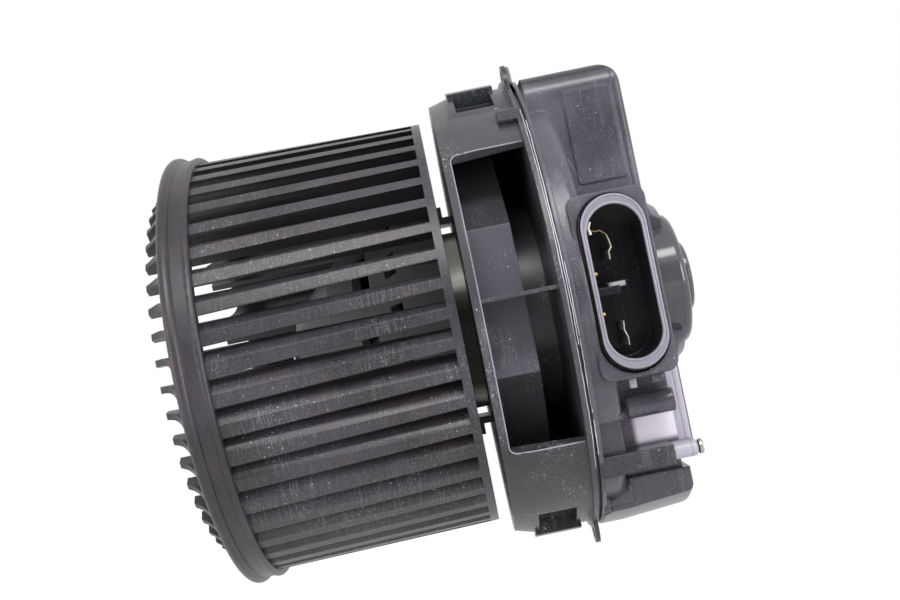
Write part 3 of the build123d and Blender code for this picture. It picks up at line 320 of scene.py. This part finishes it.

# %% [markdown]
# The cover behind the flange is smoother and slightly violet. A pale reflection is painted onto the floor of
# the recess under the socket, pale highlights are painted along the lid's edge and the screw post, a lilac
# sheen is painted into the valley beside the flange, and shade is painted nearly black onto the shelf and
# the duct's top.

# %% Cover plastic
# Painted reflection, painted highlights, painted sheen and painted shade, laid by boxes over the cover's
# colour.
PAINTED_REFLECTION = (0.80, 0.75, 0.86)
PAINTED_HIGHLIGHT = (0.40, 0.375, 0.45)
PAINTED_LILAC_SHEEN = (0.32, 0.30, 0.37)
SHELF_PAINTED_SHADE = (0.026, 0.024, 0.029)
TOP_PAINTED_SHADE = (0.010, 0.009, 0.012)
recess_floor = ((18.5, -49, -52.5), (33, -46, -43.0), PAINTED_REFLECTION, 1.2)
lid_edge = ((32.4, -49, -62), (36.9, -46.6, -22), PAINTED_HIGHLIGHT, 0.3)
screw_post = ((29.0, -58, -60), (36.9, -50, -52.5), PAINTED_HIGHLIGHT, 0.5)
valley = ((2.5, -62, -26), (9.0, -40, 2), PAINTED_LILAC_SHEEN, 1.5)
shelf = ((3, -63, -64.5), (28.5, -50, -52.4), SHELF_PAINTED_SHADE, 0.5)
duct_top = ((2, -60, 74.5), (34, 60, 80), TOP_PAINTED_SHADE, 0.8)
cross_bar = ((9, -62, -44), (36, -46, -34))
cover_plastic = moulded("cover_plastic", (0.066, 0.060, 0.076), 0.28, dust=0.45, scuffs=0.09,
                        scuff_scale=(500.0, 500.0, 45.0), tone=0.3, mottle=0.08, edge=0.0011,
                        areas=(recess_floor, lid_edge, screw_post, valley, shelf, duct_top),
                        glossy_box=cross_bar)
dress(cover_plastic, "rear_cover", "rear_lid", "cap_collar")

# %% [markdown]
# The socket is black inside, and a box paints its face a pale lilac grey. The cap over the rear
# bearing came out of a polished mould and has hardly any grain.

# %% Socket and cap plastic
FACE_SHADE = (0.22, 0.207, 0.25)
socket_face = ((0, -82, -40), (40, -79.2, 40), FACE_SHADE, 0.4)
socket_plastic = moulded("socket_plastic", (0.012, 0.011, 0.014), 0.22, dust=0.1, scuffs=0.03, tone=0.1,
                         edge=0.0005, areas=(socket_face,))
cap_plastic = moulded("cap_plastic", (0.060, 0.060, 0.068), 0.12, grain_depth=0.000005, dust=0.25,
                      scuffs=0.05, tone=0.15)
dress(socket_plastic, "connector_socket")
dress(cap_plastic, "motor_cap")

# %% [markdown]
# The metals are drawn steel, turned steel, copper, sintered bronze and tin plate. Each is a metallic
# shader with its own tint and roughness, brushed by a noise that is drawn out along or round the part.
# Shade is painted darker onto the can where the wheel's dome shades it, because a bright can would shine
# between the blades.

# %% Metals
METAL_STAIN_SCALE = 90.0
STREAK_SHADE, STAIN_SHADE, PAINTED_SHADE_SHARE = 0.8, 0.35, 0.12
STREAK_DEPTH = 0.00001


def metal(name, colour, rough, streak=(30.0, 900.0, 900.0), spots=0.0, painted_shade_zone=None):
    """Make a metal whose roughness and tone vary in streaks, with painted shade inside an optional zone."""
    material = bpy.data.materials.new(name)
    material.use_nodes = True
    tree = material.node_tree
    shader = tree.nodes["Principled BSDF"]
    place = add_node(tree, "ShaderNodeTexCoord").outputs["Object"]
    lines = noise(tree, stretched(tree, place, streak), 1.0, 3.0)
    base = mix(tree, lines, tuple(c * STREAK_SHADE for c in colour), colour)
    stains = ramp(tree, noise(tree, place, METAL_STAIN_SCALE, 4.0), 0.5, 0.75)
    stained = arithmetic(tree, "MULTIPLY", stains, spots)
    base = mix(tree, stained, base, tuple(c * STAIN_SHADE for c in colour))
    # Painted shade: darken the colour inside the zone.
    if painted_shade_zone:
        shaded = inside(tree, place, *painted_shade_zone, soft=4.0)
        base = mix(tree, shaded, base, tuple(c * PAINTED_SHADE_SHARE for c in colour))
    tree.links.new(base, shader.inputs["Base Color"])
    tree.links.new(arithmetic(tree, "MULTIPLY_ADD", lines, 0.2, rough - 0.1), shader.inputs["Roughness"])
    shader.inputs["Metallic"].default_value = 1.0
    bump_inputs = {"Height": lines, "Distance": STREAK_DEPTH, "Strength": 0.5}
    bump = add_node(tree, "ShaderNodeBump", bump_inputs)
    tree.links.new(bump.outputs[0], shader.inputs["Normal"])
    return material


# Where shade is painted onto the can.
under_dome = ((-62, -36, -27), (30, -8, 13))
can_steel = metal("can_steel", (0.50, 0.50, 0.46), 0.42, spots=0.3, painted_shade_zone=under_dome)
tinned = metal("tinned", (1.0, 0.93, 0.86), 0.5, (60.0, 60.0, 900.0))
shaft_steel = metal("shaft_steel", (0.62, 0.62, 0.63), 0.2)
core_steel = metal("core_steel", (0.30, 0.30, 0.31), 0.45, (2000.0, 20.0, 20.0), 0.3)
copper = metal("copper", (0.80, 0.42, 0.24), 0.3, (900.0, 900.0, 60.0))
bronze = metal("bronze", (0.60, 0.46, 0.24), 0.5, (400.0, 400.0, 400.0), 0.3)
dress(can_steel, "motor_can", "end_plate", "wheel_clip", "cover_screws",
      "brush_spring_upper", "brush_spring_lower")
dress(shaft_steel, "motor_shaft")
dress(core_steel, "armature_core")
dress(copper, "armature_winding", "commutator", "choke_upper", "choke_lower")
dress(bronze, "front_bearing", "rear_bearing")
dress(tinned, "terminal_upper", "terminal_lower")

# %% [markdown]
# Three kinds of part are neither plastic nor metal: the pressed ferrite magnets, the carbon brushes and
# the rubber rings round the can. All are dark, dull and grainy, so the plastic's function serves.

# %% Ferrite, carbon and rubber
ferrite = moulded("ferrite", (0.045, 0.045, 0.048), 0.6, grain=900, grain_depth=0.00004)
carbon = moulded("carbon", (0.030, 0.030, 0.032), 0.5, grain=2500)
rubber = moulded("rubber", (0.022, 0.022, 0.023), 0.7, dust=0.1)
dress(ferrite, "magnet_near", "magnet_far")
dress(carbon, "brush_upper", "brush_lower")
dress(rubber, "front_damper", "rear_damper")

# %% [markdown]
# Small details are added as new surfaces. Each one is a profile carried along a path: the path gives the
# place, its direction and one fixed vector give two axes, and the profile's points are laid out on them.
# The points make a grid, the grid's cells are the faces, and an open end runs together into a pole.

# %% Surfaces from a grid
def surface(name, grid, material, body="housing", ring=False):
    """Join a grid of points, whose rows close on themselves, into one shell that rides on a body."""
    rows, columns = grid.shape[:2]
    row, column = np.meshgrid(np.arange(rows if ring else rows - 1), np.arange(columns), indexing="ij")
    next_row, next_column = (row + 1) % rows, (column + 1) % columns
    corners = (row * columns + column, next_row * columns + column,
               next_row * columns + next_column, row * columns + next_column)
    quads = np.stack(corners, axis=-1).reshape(-1, 4)
    mesh = bpy.data.meshes.new(name)
    mesh.from_pydata(grid.reshape(-1, 3).tolist(), [], quads.tolist())
    shell = bmesh.new()
    shell.from_mesh(mesh)
    bmesh.ops.remove_doubles(shell, verts=shell.verts, dist=1e-6)
    bmesh.ops.recalc_face_normals(shell, faces=shell.faces)
    shell.to_mesh(mesh)
    shell.free()
    mesh.shade_smooth()
    mesh.materials.append(material)
    piece = bpy.data.objects.new(name, mesh)
    bpy.context.collection.objects.link(piece)
    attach(piece, body)
    print(name, "faces:", len(mesh.polygons))
    return piece


def sweep(path, profile, upward, ring=False):
    """Place profile point (a, b) at path + a * side + b * upward, where side = direction x upward."""
    path, profile, upward = (np.asarray(values, float) for values in (path, profile, upward))
    if ring:
        direction = np.roll(path, -1, axis=0) - np.roll(path, 1, axis=0)
    else:
        direction = np.gradient(path, axis=0)
    side = np.cross(direction, upward)
    side /= np.linalg.norm(side, axis=1, keepdims=True)
    grid = path[:, None] + profile[None, :, :1] * side[:, None] + profile[None, :, 1:] * upward
    if not ring:
        ends = [np.repeat(path[end][None, None], len(profile), axis=1) for end in (0, -1)]
        grid = np.concatenate((ends[0], grid, ends[1]))
    return grid / 1000


def oval(width, height, count=12, square=2.0):
    """Give a closed profile |a|^p + |b|^p = 1 scaled to a width and height; p = 2 is an ellipse."""
    angle = np.linspace(0, 2 * pi, count, endpoint=False)
    a, b = np.cos(angle), np.sin(angle)
    power = 2 / square
    return np.stack((np.sign(a) * np.abs(a) ** power * width / 2,
                     np.sign(b) * np.abs(b) ** power * height / 2), axis=1)


NEARER = (0.0, -1.0, 0.0)
UPWARD = (0.0, 0.0, 1.0)
print("surfaces are ready")

# %% [markdown]
# The plug socket's mouth is an oval with two straight sides and two half circles. On the real one a fine
# raised bead runs round both edges of its face, and a soft seal lies in the groove outside it. All three
# are round profiles carried along such an oval. A stretched torus would grow thinner at its sides, so
# one function gives the oval path for every ring, and the sweep keeps each ring's thickness even.

# %% Socket rings
SOCKET_MIDDLE_X, SOCKET_MIDDLE_Z = 20.7, 2.0
SOCKET_FACE_Y, SEAL_Y = -80.0, -76.6


def slot_path(length, width, y, count=24):
    """Walk round a slot: x = r cos t, z = r sin t + h sign(sin t), r = width / 2, h = length / 2 - r."""
    t = (np.arange(2 * count) + 0.5) * pi / count
    x = SOCKET_MIDDLE_X + width / 2 * np.cos(t)
    z = SOCKET_MIDDLE_Z + width / 2 * np.sin(t) + (length - width) / 2 * np.sign(np.sin(t))
    return np.stack((x, np.full_like(x, y), z), axis=1)


# A pale plastic for painted highlights: the socket beads, the window lip, the key step, the left foot and
# the sprue mark.
pale_highlight_plastic = moulded("pale_highlight_plastic", (0.27, 0.255, 0.30), 0.26, dust=0.2, scuffs=0.2, tone=0.2)
rings = (("socket_inner_bead", (50.0, 18.4, SOCKET_FACE_Y), (0.7, 0.7), pale_highlight_plastic, "cover_plastic"),
         ("socket_outer_bead", (54.8, 20.0, SOCKET_FACE_Y), (0.6, 0.6), pale_highlight_plastic, "cover_plastic"),
         ("socket_seal", (56.4, 21.5, SEAL_Y), (0.6, 1.6), rubber, "rubber"))
for name, slot_sizes, thickness, material, slot in rings:
    bead = sweep(slot_path(*slot_sizes), oval(*thickness), NEARER, ring=True)
    surface(name, bead, material, ring=True)

# %% [markdown]
# The two blade terminals stand deep in the socket with their edges to the camera. They are stamped from
# tinned brass and slightly bent, so each one is a tall thin profile along a bent path of a few points,
# and the points between are worked out by a smooth step from one bend to the next. A box could be bent
# by hand too, but a list of bends is easier to read and change. A tag and a thin strip show at the left
# wall, with two small rivet heads.

# %% Blades and contacts
BLADE_Y, TAG_Y, CONTACT_Y = -63.0, -74, -73
BLADE_THICK, BLADE_DEEP = 0.6, 18.0


def bent(points, steps=6):
    """Round a path: between corner k and k + 1 the share is s = u * u * (3 - 2 u), for u from 0 to 1."""
    points = np.asarray(points, float)
    u = np.linspace(0, 1, steps, endpoint=False)
    share = (u * u * (3 - 2 * u))[None, :, None]
    legs = points[:-1, None] * (1 - share) + points[1:, None] * share
    return np.concatenate((legs.reshape(-1, 3), points[-1:]))


upper_bends = [(19.0, 17.8), (19.5, 15.8), (19.8, 13.5), (18.7, 12.2), (18.7, 9.8)]
lower_bends = [(18.9, -10.3), (18.6, -13.0), (19.4, -15.8), (19.3, -18.3)]
blade_section = oval(BLADE_THICK, BLADE_DEEP, 28, 8.0)
for name, bends in (("upper", upper_bends), ("lower", lower_bends)):
    path = bent([(x, BLADE_Y, z) for x, z in bends])
    blade = surface("blade_" + name, sweep(path, blade_section, NEARER), tinned)
    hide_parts("terminal_" + name)

tag = [(14.2, TAG_Y, 22.6), (13.3, TAG_Y, 20.6), (13.8, TAG_Y, 18.4)]
surface("contact_tag", sweep(bent(tag), oval(1.3, 1.2, 10, 3.0), NEARER), tinned)
strip = [(13.8, CONTACT_Y, 20.0), (15.6, CONTACT_Y, 19.2), (17.0, CONTACT_Y, 19.4),
         (18.9, CONTACT_Y, 17.6)]
surface("contact_strip", sweep(bent(strip), oval(0.3, 1.0, 10, 4.0), NEARER), bronze)
for name, height in (("upper", 5.9), ("lower", -7.1)):
    rivet = [(x, CONTACT_Y, height) for x in (12.0, 12.9, 13.6)]
    surface("rivet_" + name, sweep(rivet, oval(1.3, 1.3), NEARER), bronze)

# %% [markdown]
# Inside the motor a coil spring presses each carbon brush onto the commutator. A coil is a round wire on
# the path x = m + r cos a, y = r sin a, z = f + h a / (2 pi n), for a from 0 to 2 pi n. A Screw modifier
# could turn the wire, but here the path and the foot's place stand in one line.

# %% Brush springs
COIL_MIDDLE_X, COIL_RADIUS, COIL_TURNS = 10.5, 2.0, 5
COIL_FOOT, COIL_HEIGHT = 19.62, 9.9
COIL_WIRE = 0.84
POINTS_TO_A_TURN = 16
a = np.linspace(0, 2 * pi * COIL_TURNS, POINTS_TO_A_TURN * COIL_TURNS + 1)
for name, way in (("upper", 1), ("lower", -1)):
    height = way * (COIL_FOOT + COIL_HEIGHT * a / a[-1])
    coil = np.stack((COIL_MIDDLE_X + COIL_RADIUS * np.cos(a), COIL_RADIUS * np.sin(a), height), axis=1)
    wire = sweep(coil, oval(COIL_WIRE, COIL_WIRE, 8), UPWARD)
    spring = surface("coil_" + name, wire, can_steel)
    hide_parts("brush_spring_" + name)
    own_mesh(spring)

# %% [markdown]
# The key in the socket has a second step behind the first, and two short feet stand under the plug boss.
# They are bars with slightly rounded corners: a superellipse profile of power six on a straight path.
# A cube with a Bevel modifier would look the same, but the sweep is there already.

# %% Key step and boss feet
KEY_Y, KEY_Z = -71.5, 1.5
FOOT_Y, FOOT_TOP_Z = -74.5, -28.2


def bar(start, end, width, height, upward, square=6.0):
    """Carry a rounded rectangle from one point to another."""
    path = np.linspace(start, end, 4)
    return sweep(path, oval(width, height, 28, square), upward)


# The key step and the left foot are painted pale, a painted highlight; the right foot keeps the cover's
# colour.
key_step = bar((16.4, KEY_Y, KEY_Z), (21.6, KEY_Y, KEY_Z), 1.9, 7.0, NEARER)
surface("key_step", key_step, pale_highlight_plastic)
left_foot = bar((17.4, FOOT_Y, FOOT_TOP_Z), (17.4, FOOT_Y, -31.6), 2.3, 3.0, NEARER)
surface("boss_foot_left", left_foot, pale_highlight_plastic)
right_foot = bar((25.4, FOOT_Y, FOOT_TOP_Z), (25.4, FOOT_Y, -31.2), 4.2, 3.0, NEARER)
surface("boss_foot_right", right_foot, cover_plastic)

# %% [markdown]
# The upper fixing ear is a thin fin that leans out of the flange's plane, and the hood under the body
# starts with an upright rib and a plate with a sloping top edge. Both are plates of even thickness whose
# outline is a function of the place along the plate. A flat outline with a Solidify modifier could make
# the hood's plate but not the ear, which leans, so a small function makes the four edges of each section
# and joins the sections into one closed shell.

# %% Fin, rib and plate
SECTIONS = 25
EAR_MIDDLE_Y, EAR_HALF_WIDTH, EAR_HALF_THICK = -25.7, 6.7, 0.6
EAR_START_X, EAR_LEAN = 0.8, 1.3
EAR_FOOT_Z, EAR_SIDE_Z, EAR_HIGHEST_Z = 76.5, 79.2, 86.1
EAR_TILT, EAR_ROUND = 2.2, 6.5
HOOD_START_X, HOOD_END_X = 4.2, 14.6
HOOD_SLOPE_X, HOOD_SLOPE_LENGTH = 6.4, 7.0
HOOD_BOTTOM_Z, HOOD_LOW_Z, HOOD_RISE = -73.6, -70.2, 5.2
HOOD_NEAR_Y, HOOD_FAR_Y = -38.0, -36.6
RIB_X, RIB_Y, RIB_TOP_Z, RIB_BOTTOM_Z = 5.0, -38.2, -69.6, -75.0


def plate(along, low, high, front, back):
    """Join sections into a closed plate: section k is a rectangle from front[k] to back[k] (two points
    in the x-y plane) and from low[k] to high[k] in z, and `along` is the number of sections."""
    front, back = np.asarray(front, float), np.asarray(back, float)
    low, high = np.broadcast_to(low, along), np.broadcast_to(high, along)
    edges = ((front, low), (front, high), (back, high), (back, low))
    grid = np.stack([np.column_stack((side, level)) for side, level in edges], axis=1)
    middles = grid.mean(axis=1, keepdims=True)
    ends = [np.repeat(middles[end][None], 4, axis=1) for end in (0, -1)]
    return np.concatenate((ends[0], grid, ends[1])) / 1000


across = np.linspace(-1, 1, SECTIONS)
ear_y = EAR_MIDDLE_Y + EAR_HALF_WIDTH * across
ear_x = EAR_START_X + EAR_LEAN * (1 + across)
ear_round = EAR_SIDE_Z + EAR_TILT * across + EAR_ROUND * np.sqrt(1 - across ** 2)
ear_top = np.minimum(ear_round, EAR_HIGHEST_Z)
ear_front = np.column_stack((ear_x - EAR_HALF_THICK, ear_y))
ear_back = np.column_stack((ear_x + EAR_HALF_THICK, ear_y))
leaning_ear = plate(SECTIONS, EAR_FOOT_Z, ear_top, ear_front, ear_back)
surface("leaning_ear", leaning_ear, holder_plastic)

hood_x = np.linspace(HOOD_START_X, HOOD_END_X, SECTIONS)
rise = np.clip((hood_x - HOOD_SLOPE_X) / HOOD_SLOPE_LENGTH, 0, 1)
hood_top = HOOD_LOW_Z + HOOD_RISE * rise * rise * (3 - 2 * rise)
hood_face = np.column_stack((hood_x, np.full(SECTIONS, HOOD_NEAR_Y)))
hood_rear = np.column_stack((hood_x, np.full(SECTIONS, HOOD_FAR_Y)))
hood_plate = plate(SECTIONS, HOOD_BOTTOM_Z, hood_top, hood_face, hood_rear)
surface("hood_plate", hood_plate, cover_plastic)
hood_rib = bar((RIB_X, RIB_Y, RIB_TOP_Z), (RIB_X, RIB_Y, RIB_BOTTOM_Z), 2.2, 2.0, NEARER)
surface("hood_rib", hood_rib, cover_plastic)

# %% [markdown]
# The drum's side window has a fine raised lip with rounded corners. Its path lies on the drum, so it is
# drawn flat first, as x along the axis and an angle round it, and then wrapped: y = -r cos(angle) and
# z = r sin(angle), where the radius r grows over the drum's lead-in and then stays the same. The CAD
# node's own edge can't be bevelled, because CAD meshes aren't edited, so the lip is a piece laid on it.

# %% Window lip
DRUM_RADIUS, DRUM_LEAD_IN = 82.0, 1.8
LEAD_IN_X, LEAD_IN_LENGTH = -27.5, 6.7
LIP_CORNER, LIP_THICK, LIP_LIFT = 2.2, 0.5, 0.05
LIP_FRONT_X = -24.8
LIP_SIDE_X = (-0.4, -8.0, -16.0)
LIP_ROWS = 12
LIP_CORNER_ANGLE = 0.04
UPPER_ANGLE, LOWER_ANGLE = radians(40.9), radians(-33.9)


def wrapped(x, angle, lift=0.0):
    """Wrap flat places onto the drum: r = 80.2 + 1.8 s + lift, with s from 0 to 1 over the lead-in."""
    grown = np.clip((x - LEAD_IN_X) / LEAD_IN_LENGTH, 0, 1)
    radius = DRUM_RADIUS - DRUM_LEAD_IN + DRUM_LEAD_IN * grown + lift
    return np.stack((x, -radius * np.cos(angle), radius * np.sin(angle)), axis=1)


turn = np.linspace(0, pi / 2, 8)
corner_x = LIP_FRONT_X + LIP_CORNER * (1 - np.sin(turn))
corner_angle = LIP_CORNER / DRUM_RADIUS * (1 - np.cos(turn))
front_x = np.full(LIP_ROWS, LIP_FRONT_X)
front_angle = np.linspace(UPPER_ANGLE - LIP_CORNER_ANGLE, LOWER_ANGLE + LIP_CORNER_ANGLE, LIP_ROWS)
lip_x = np.concatenate((LIP_SIDE_X, corner_x, front_x, corner_x[::-1], LIP_SIDE_X[::-1]))
lip_angle = np.concatenate((np.full(3, UPPER_ANGLE), UPPER_ANGLE - corner_angle, front_angle,
                            (LOWER_ANGLE + corner_angle)[::-1], np.full(3, LOWER_ANGLE)))
# The lip is painted pale: a painted highlight along the window's rounded edge.
lip = sweep(wrapped(lip_x, lip_angle, LIP_LIFT), oval(LIP_THICK, LIP_THICK, 8), NEARER)
surface("window_lip", lip, pale_highlight_plastic)

# %% [markdown]
# Where the two halves of a mould meet, a ragged thread of plastic, called flash, is left along the seam.
# Four such threads run along the flange on the near side, and their pale colour is a painted highlight
# for the light they catch. Each wanders a little, because its radius and its place are sums of a few sine
# waves with random phases, which gives smooth, uneven lines that are the same on every run. A thread's row
# gives its x, its radius, and the first and last angle in degrees.

# %% Flash on the flange seams
FLASH_THICK = 0.32
FLASH_POINTS = 240
RADIUS_WANDER, X_WANDER = 0.06, 0.08
FLASH_LINES = ((1.75, 83.6, -42, 52), (2.5, 83.5, -10, 47), (3.1, 83.3, -38, 8), (3.4, 82.9, 14, 44))
WAVE_RATES = np.array([9.0, 23.0, 51.0, 97.0, 160.0])


def waves(t, seed, height):
    """Sum five sines: height * sum of sin(k t + random phase) / n, for rising rates k and n = 1 to 5."""
    phases = np.random.default_rng(seed).uniform(0, 2 * pi, 5)
    return height * (np.sin(WAVE_RATES * t[:, None] + phases) / np.arange(1, 6)).sum(axis=1)


# Pale flash threads: a painted highlight where the seams catch the light.
flash_highlight_plastic = moulded("flash_highlight_plastic", (0.62, 0.60, 0.65), 0.3, dust=0.1, scuffs=0.1, tone=0.3)
for seed, (x, radius, low, high) in enumerate(FLASH_LINES):
    t = np.radians(np.linspace(low, high, FLASH_POINTS))
    reach = radius + waves(t, seed, RADIUS_WANDER)
    along = x + waves(t, seed + 10, X_WANDER)
    path = np.stack((along, -reach * np.cos(t), reach * np.sin(t)), axis=1)
    thread = sweep(path, oval(FLASH_THICK, FLASH_THICK, 6), NEARER)
    surface("seam_flash_" + str(seed + 1), thread, flash_highlight_plastic)

# %% [markdown]
# On the cover's face a drop-shaped sprue mark stands beside the panel. Its outline is the pear curve
# x = w sin t sin(t / 2) squared, z = h cos t, leaning a little. The face under it isn't flat, so each
# point is dropped onto the CAD node with a ray, and a fine thread follows the outline.

# %% Sprue mark
DROP_X, DROP_Z = 15.4, 41.0
DROP_WIDE, DROP_HALF_TALL, DROP_LEAN = 2.6, 5.6, 0.12
DROP_THICK, DROP_PROUD = 0.25, 0.05
COVER_FACE_Y = -47.5
RAY_START_Y = -0.2


def on_face(node, x, z):
    """Find how far along y a ray at x, z meets a CAD node, in millimetres."""
    start = Vector((x / 1000, RAY_START_Y, z / 1000))
    hit, place, _, _ = nodes[node].ray_cast(start, Vector((0, 1, 0)))
    return place.y * 1000 if hit else COVER_FACE_Y


t = np.linspace(0, 2 * pi, 40, endpoint=False)
drop_x = DROP_X + DROP_WIDE * np.sin(t) * np.sin(t / 2) ** 2 - DROP_LEAN * DROP_HALF_TALL * np.cos(t)
drop_z = DROP_Z + DROP_HALF_TALL * np.cos(t)
drop_y = np.array([on_face("rear_cover", x, z) for x, z in zip(drop_x, drop_z)]) - DROP_PROUD
drop = np.stack((drop_x, drop_y, drop_z), axis=1)
# The thread is painted pale: a painted highlight round the drop's edge.
mark = sweep(drop, oval(DROP_THICK, DROP_THICK, 6), NEARER, ring=True)
surface("sprue_mark", mark, pale_highlight_plastic, ring=True)

# %% [markdown]
# The photograph is a catalogue shot: white all round, with broad soft lights. The floor and the world
# show white to the camera, to glossy rays and to transmitted rays, and give the object a plain soft
# light. More light on the object would whiten the ground as well, but it would bleach the black plastic.

# %% Floor and world
SKY_STRENGTH = 0.35
FLOOR_Z = -0.16
FLOOR_HALF = 3.0
FLOOR_SHADE = 0.9
FLOOR_GLOW = 0.9
GLOW_STRENGTH = 1.08


def seen_directly(tree):
    """Return 1 for camera, glossy and transmission rays and 0 for the rays that carry light."""
    path = add_node(tree, "ShaderNodeLightPath")
    seen = arithmetic(tree, "MAXIMUM", path.outputs["Is Camera Ray"], path.outputs["Is Glossy Ray"])
    return arithmetic(tree, "MAXIMUM", seen, path.outputs["Is Transmission Ray"])


def stage_sheet(name, corners, shade):
    """Make one flat matt sheet of the studio."""
    mesh = bpy.data.meshes.new(name)
    mesh.from_pydata(corners, [], [(0, 1, 2, 3)])
    sheet = bpy.data.objects.new(name, mesh)
    bpy.context.collection.objects.link(sheet)
    material = bpy.data.materials.new(name)
    material.use_nodes = True
    shader = material.node_tree.nodes["Principled BSDF"]
    shader.inputs["Base Color"].default_value = (shade, shade, shade, 1)
    shader.inputs["Roughness"].default_value = 0.9
    mesh.materials.append(material)
    return sheet


world = bpy.data.worlds.new("studio")
bpy.context.scene.world = world
world.use_nodes = True
sky = world.node_tree
background = sky.nodes["Background"]
background.inputs["Color"].default_value = (1.0, 1.0, 1.0, 1.0)
strength = arithmetic(sky, "MULTIPLY_ADD", seen_directly(sky), 1.0 - SKY_STRENGTH, SKY_STRENGTH)
sky.links.new(strength, background.inputs["Strength"])

table = [(x * FLOOR_HALF, y * FLOOR_HALF, FLOOR_Z) for x, y in ((-1, -1), (1, -1), (1, 1), (-1, 1))]
floor = stage_sheet("floor", table, FLOOR_SHADE)
paper = floor.data.materials[0].node_tree
glow = add_node(paper, "ShaderNodeEmission", {"Strength": GLOW_STRENGTH})
shown = arithmetic(paper, "MULTIPLY", seen_directly(paper), FLOOR_GLOW)
matt = paper.nodes["Principled BSDF"].outputs[0]
blend = add_node(paper, "ShaderNodeMixShader", {0: shown, 1: matt, 2: glow.outputs[0]})
paper.links.new(blend.outputs[0], paper.nodes["Material Output"].inputs["Surface"])
print("floor at z =", FLOOR_Z, "with a sky of strength", SKY_STRENGTH)

# %% [markdown]
# Black plastic in a white room mirrors the room and turns grey. A black card behind the camera gives the
# glossy faces something dark to mirror, as it does in a real studio. No camera sees it.

# %% Dark card
CARD_Y = -1.5
CARD_SHADE = 0.03
card = [(x, CARD_Y, z) for x, z in ((-1.0, -0.15), (1.0, -0.15), (1.0, 0.75), (-1.0, 0.75))]
dark_card = stage_sheet("dark_card", card, CARD_SHADE)
dark_card.visible_camera = False
print("dark card at y =", CARD_Y)

# %% [markdown]
# A long key lamp above draws the bright line along the upper edges, and two boxes at the sides light the
# rims and the cap. The front lamp only fills the shadows: its mirror image would lie like a veil over
# every face that looks at the camera, so it gives no gloss.

# %% Lamps
def lamp(name, place, size, watts, gloss=True):
    """Hang an area lamp at a place, facing the middle; without gloss it adds light but no highlight."""
    data = bpy.data.lights.new(name, "AREA")
    data.shape = "RECTANGLE"
    data.size, data.size_y = size
    data.energy = watts
    item = bpy.data.objects.new(name, data)
    bpy.context.collection.objects.link(item)
    item.location = place
    item.rotation_euler = (-Vector(place)).to_track_quat("-Z", "Y").to_euler()
    item.visible_glossy = gloss
    print("lamp", name, watts, "W")


lamp("key", (0.15, -0.95, 0.95), (1.0, 0.3), 12.0)
lamp("front", (-0.05, -1.15, 0.25), (0.9, 0.7), 4.5, gloss=False)
lamp("left", (-1.1, -0.6, 0.1), (0.5, 0.7), 4.0)
lamp("right", (1.1, -0.8, 0.1), (0.4, 0.6), 8.0)

# %% [markdown]
# The Standard view transform shows a colour as it is written, which a catalogue picture needs. A filmic
# one would grey the white ground.


bpy.context.scene.view_settings.view_transform = "Standard"
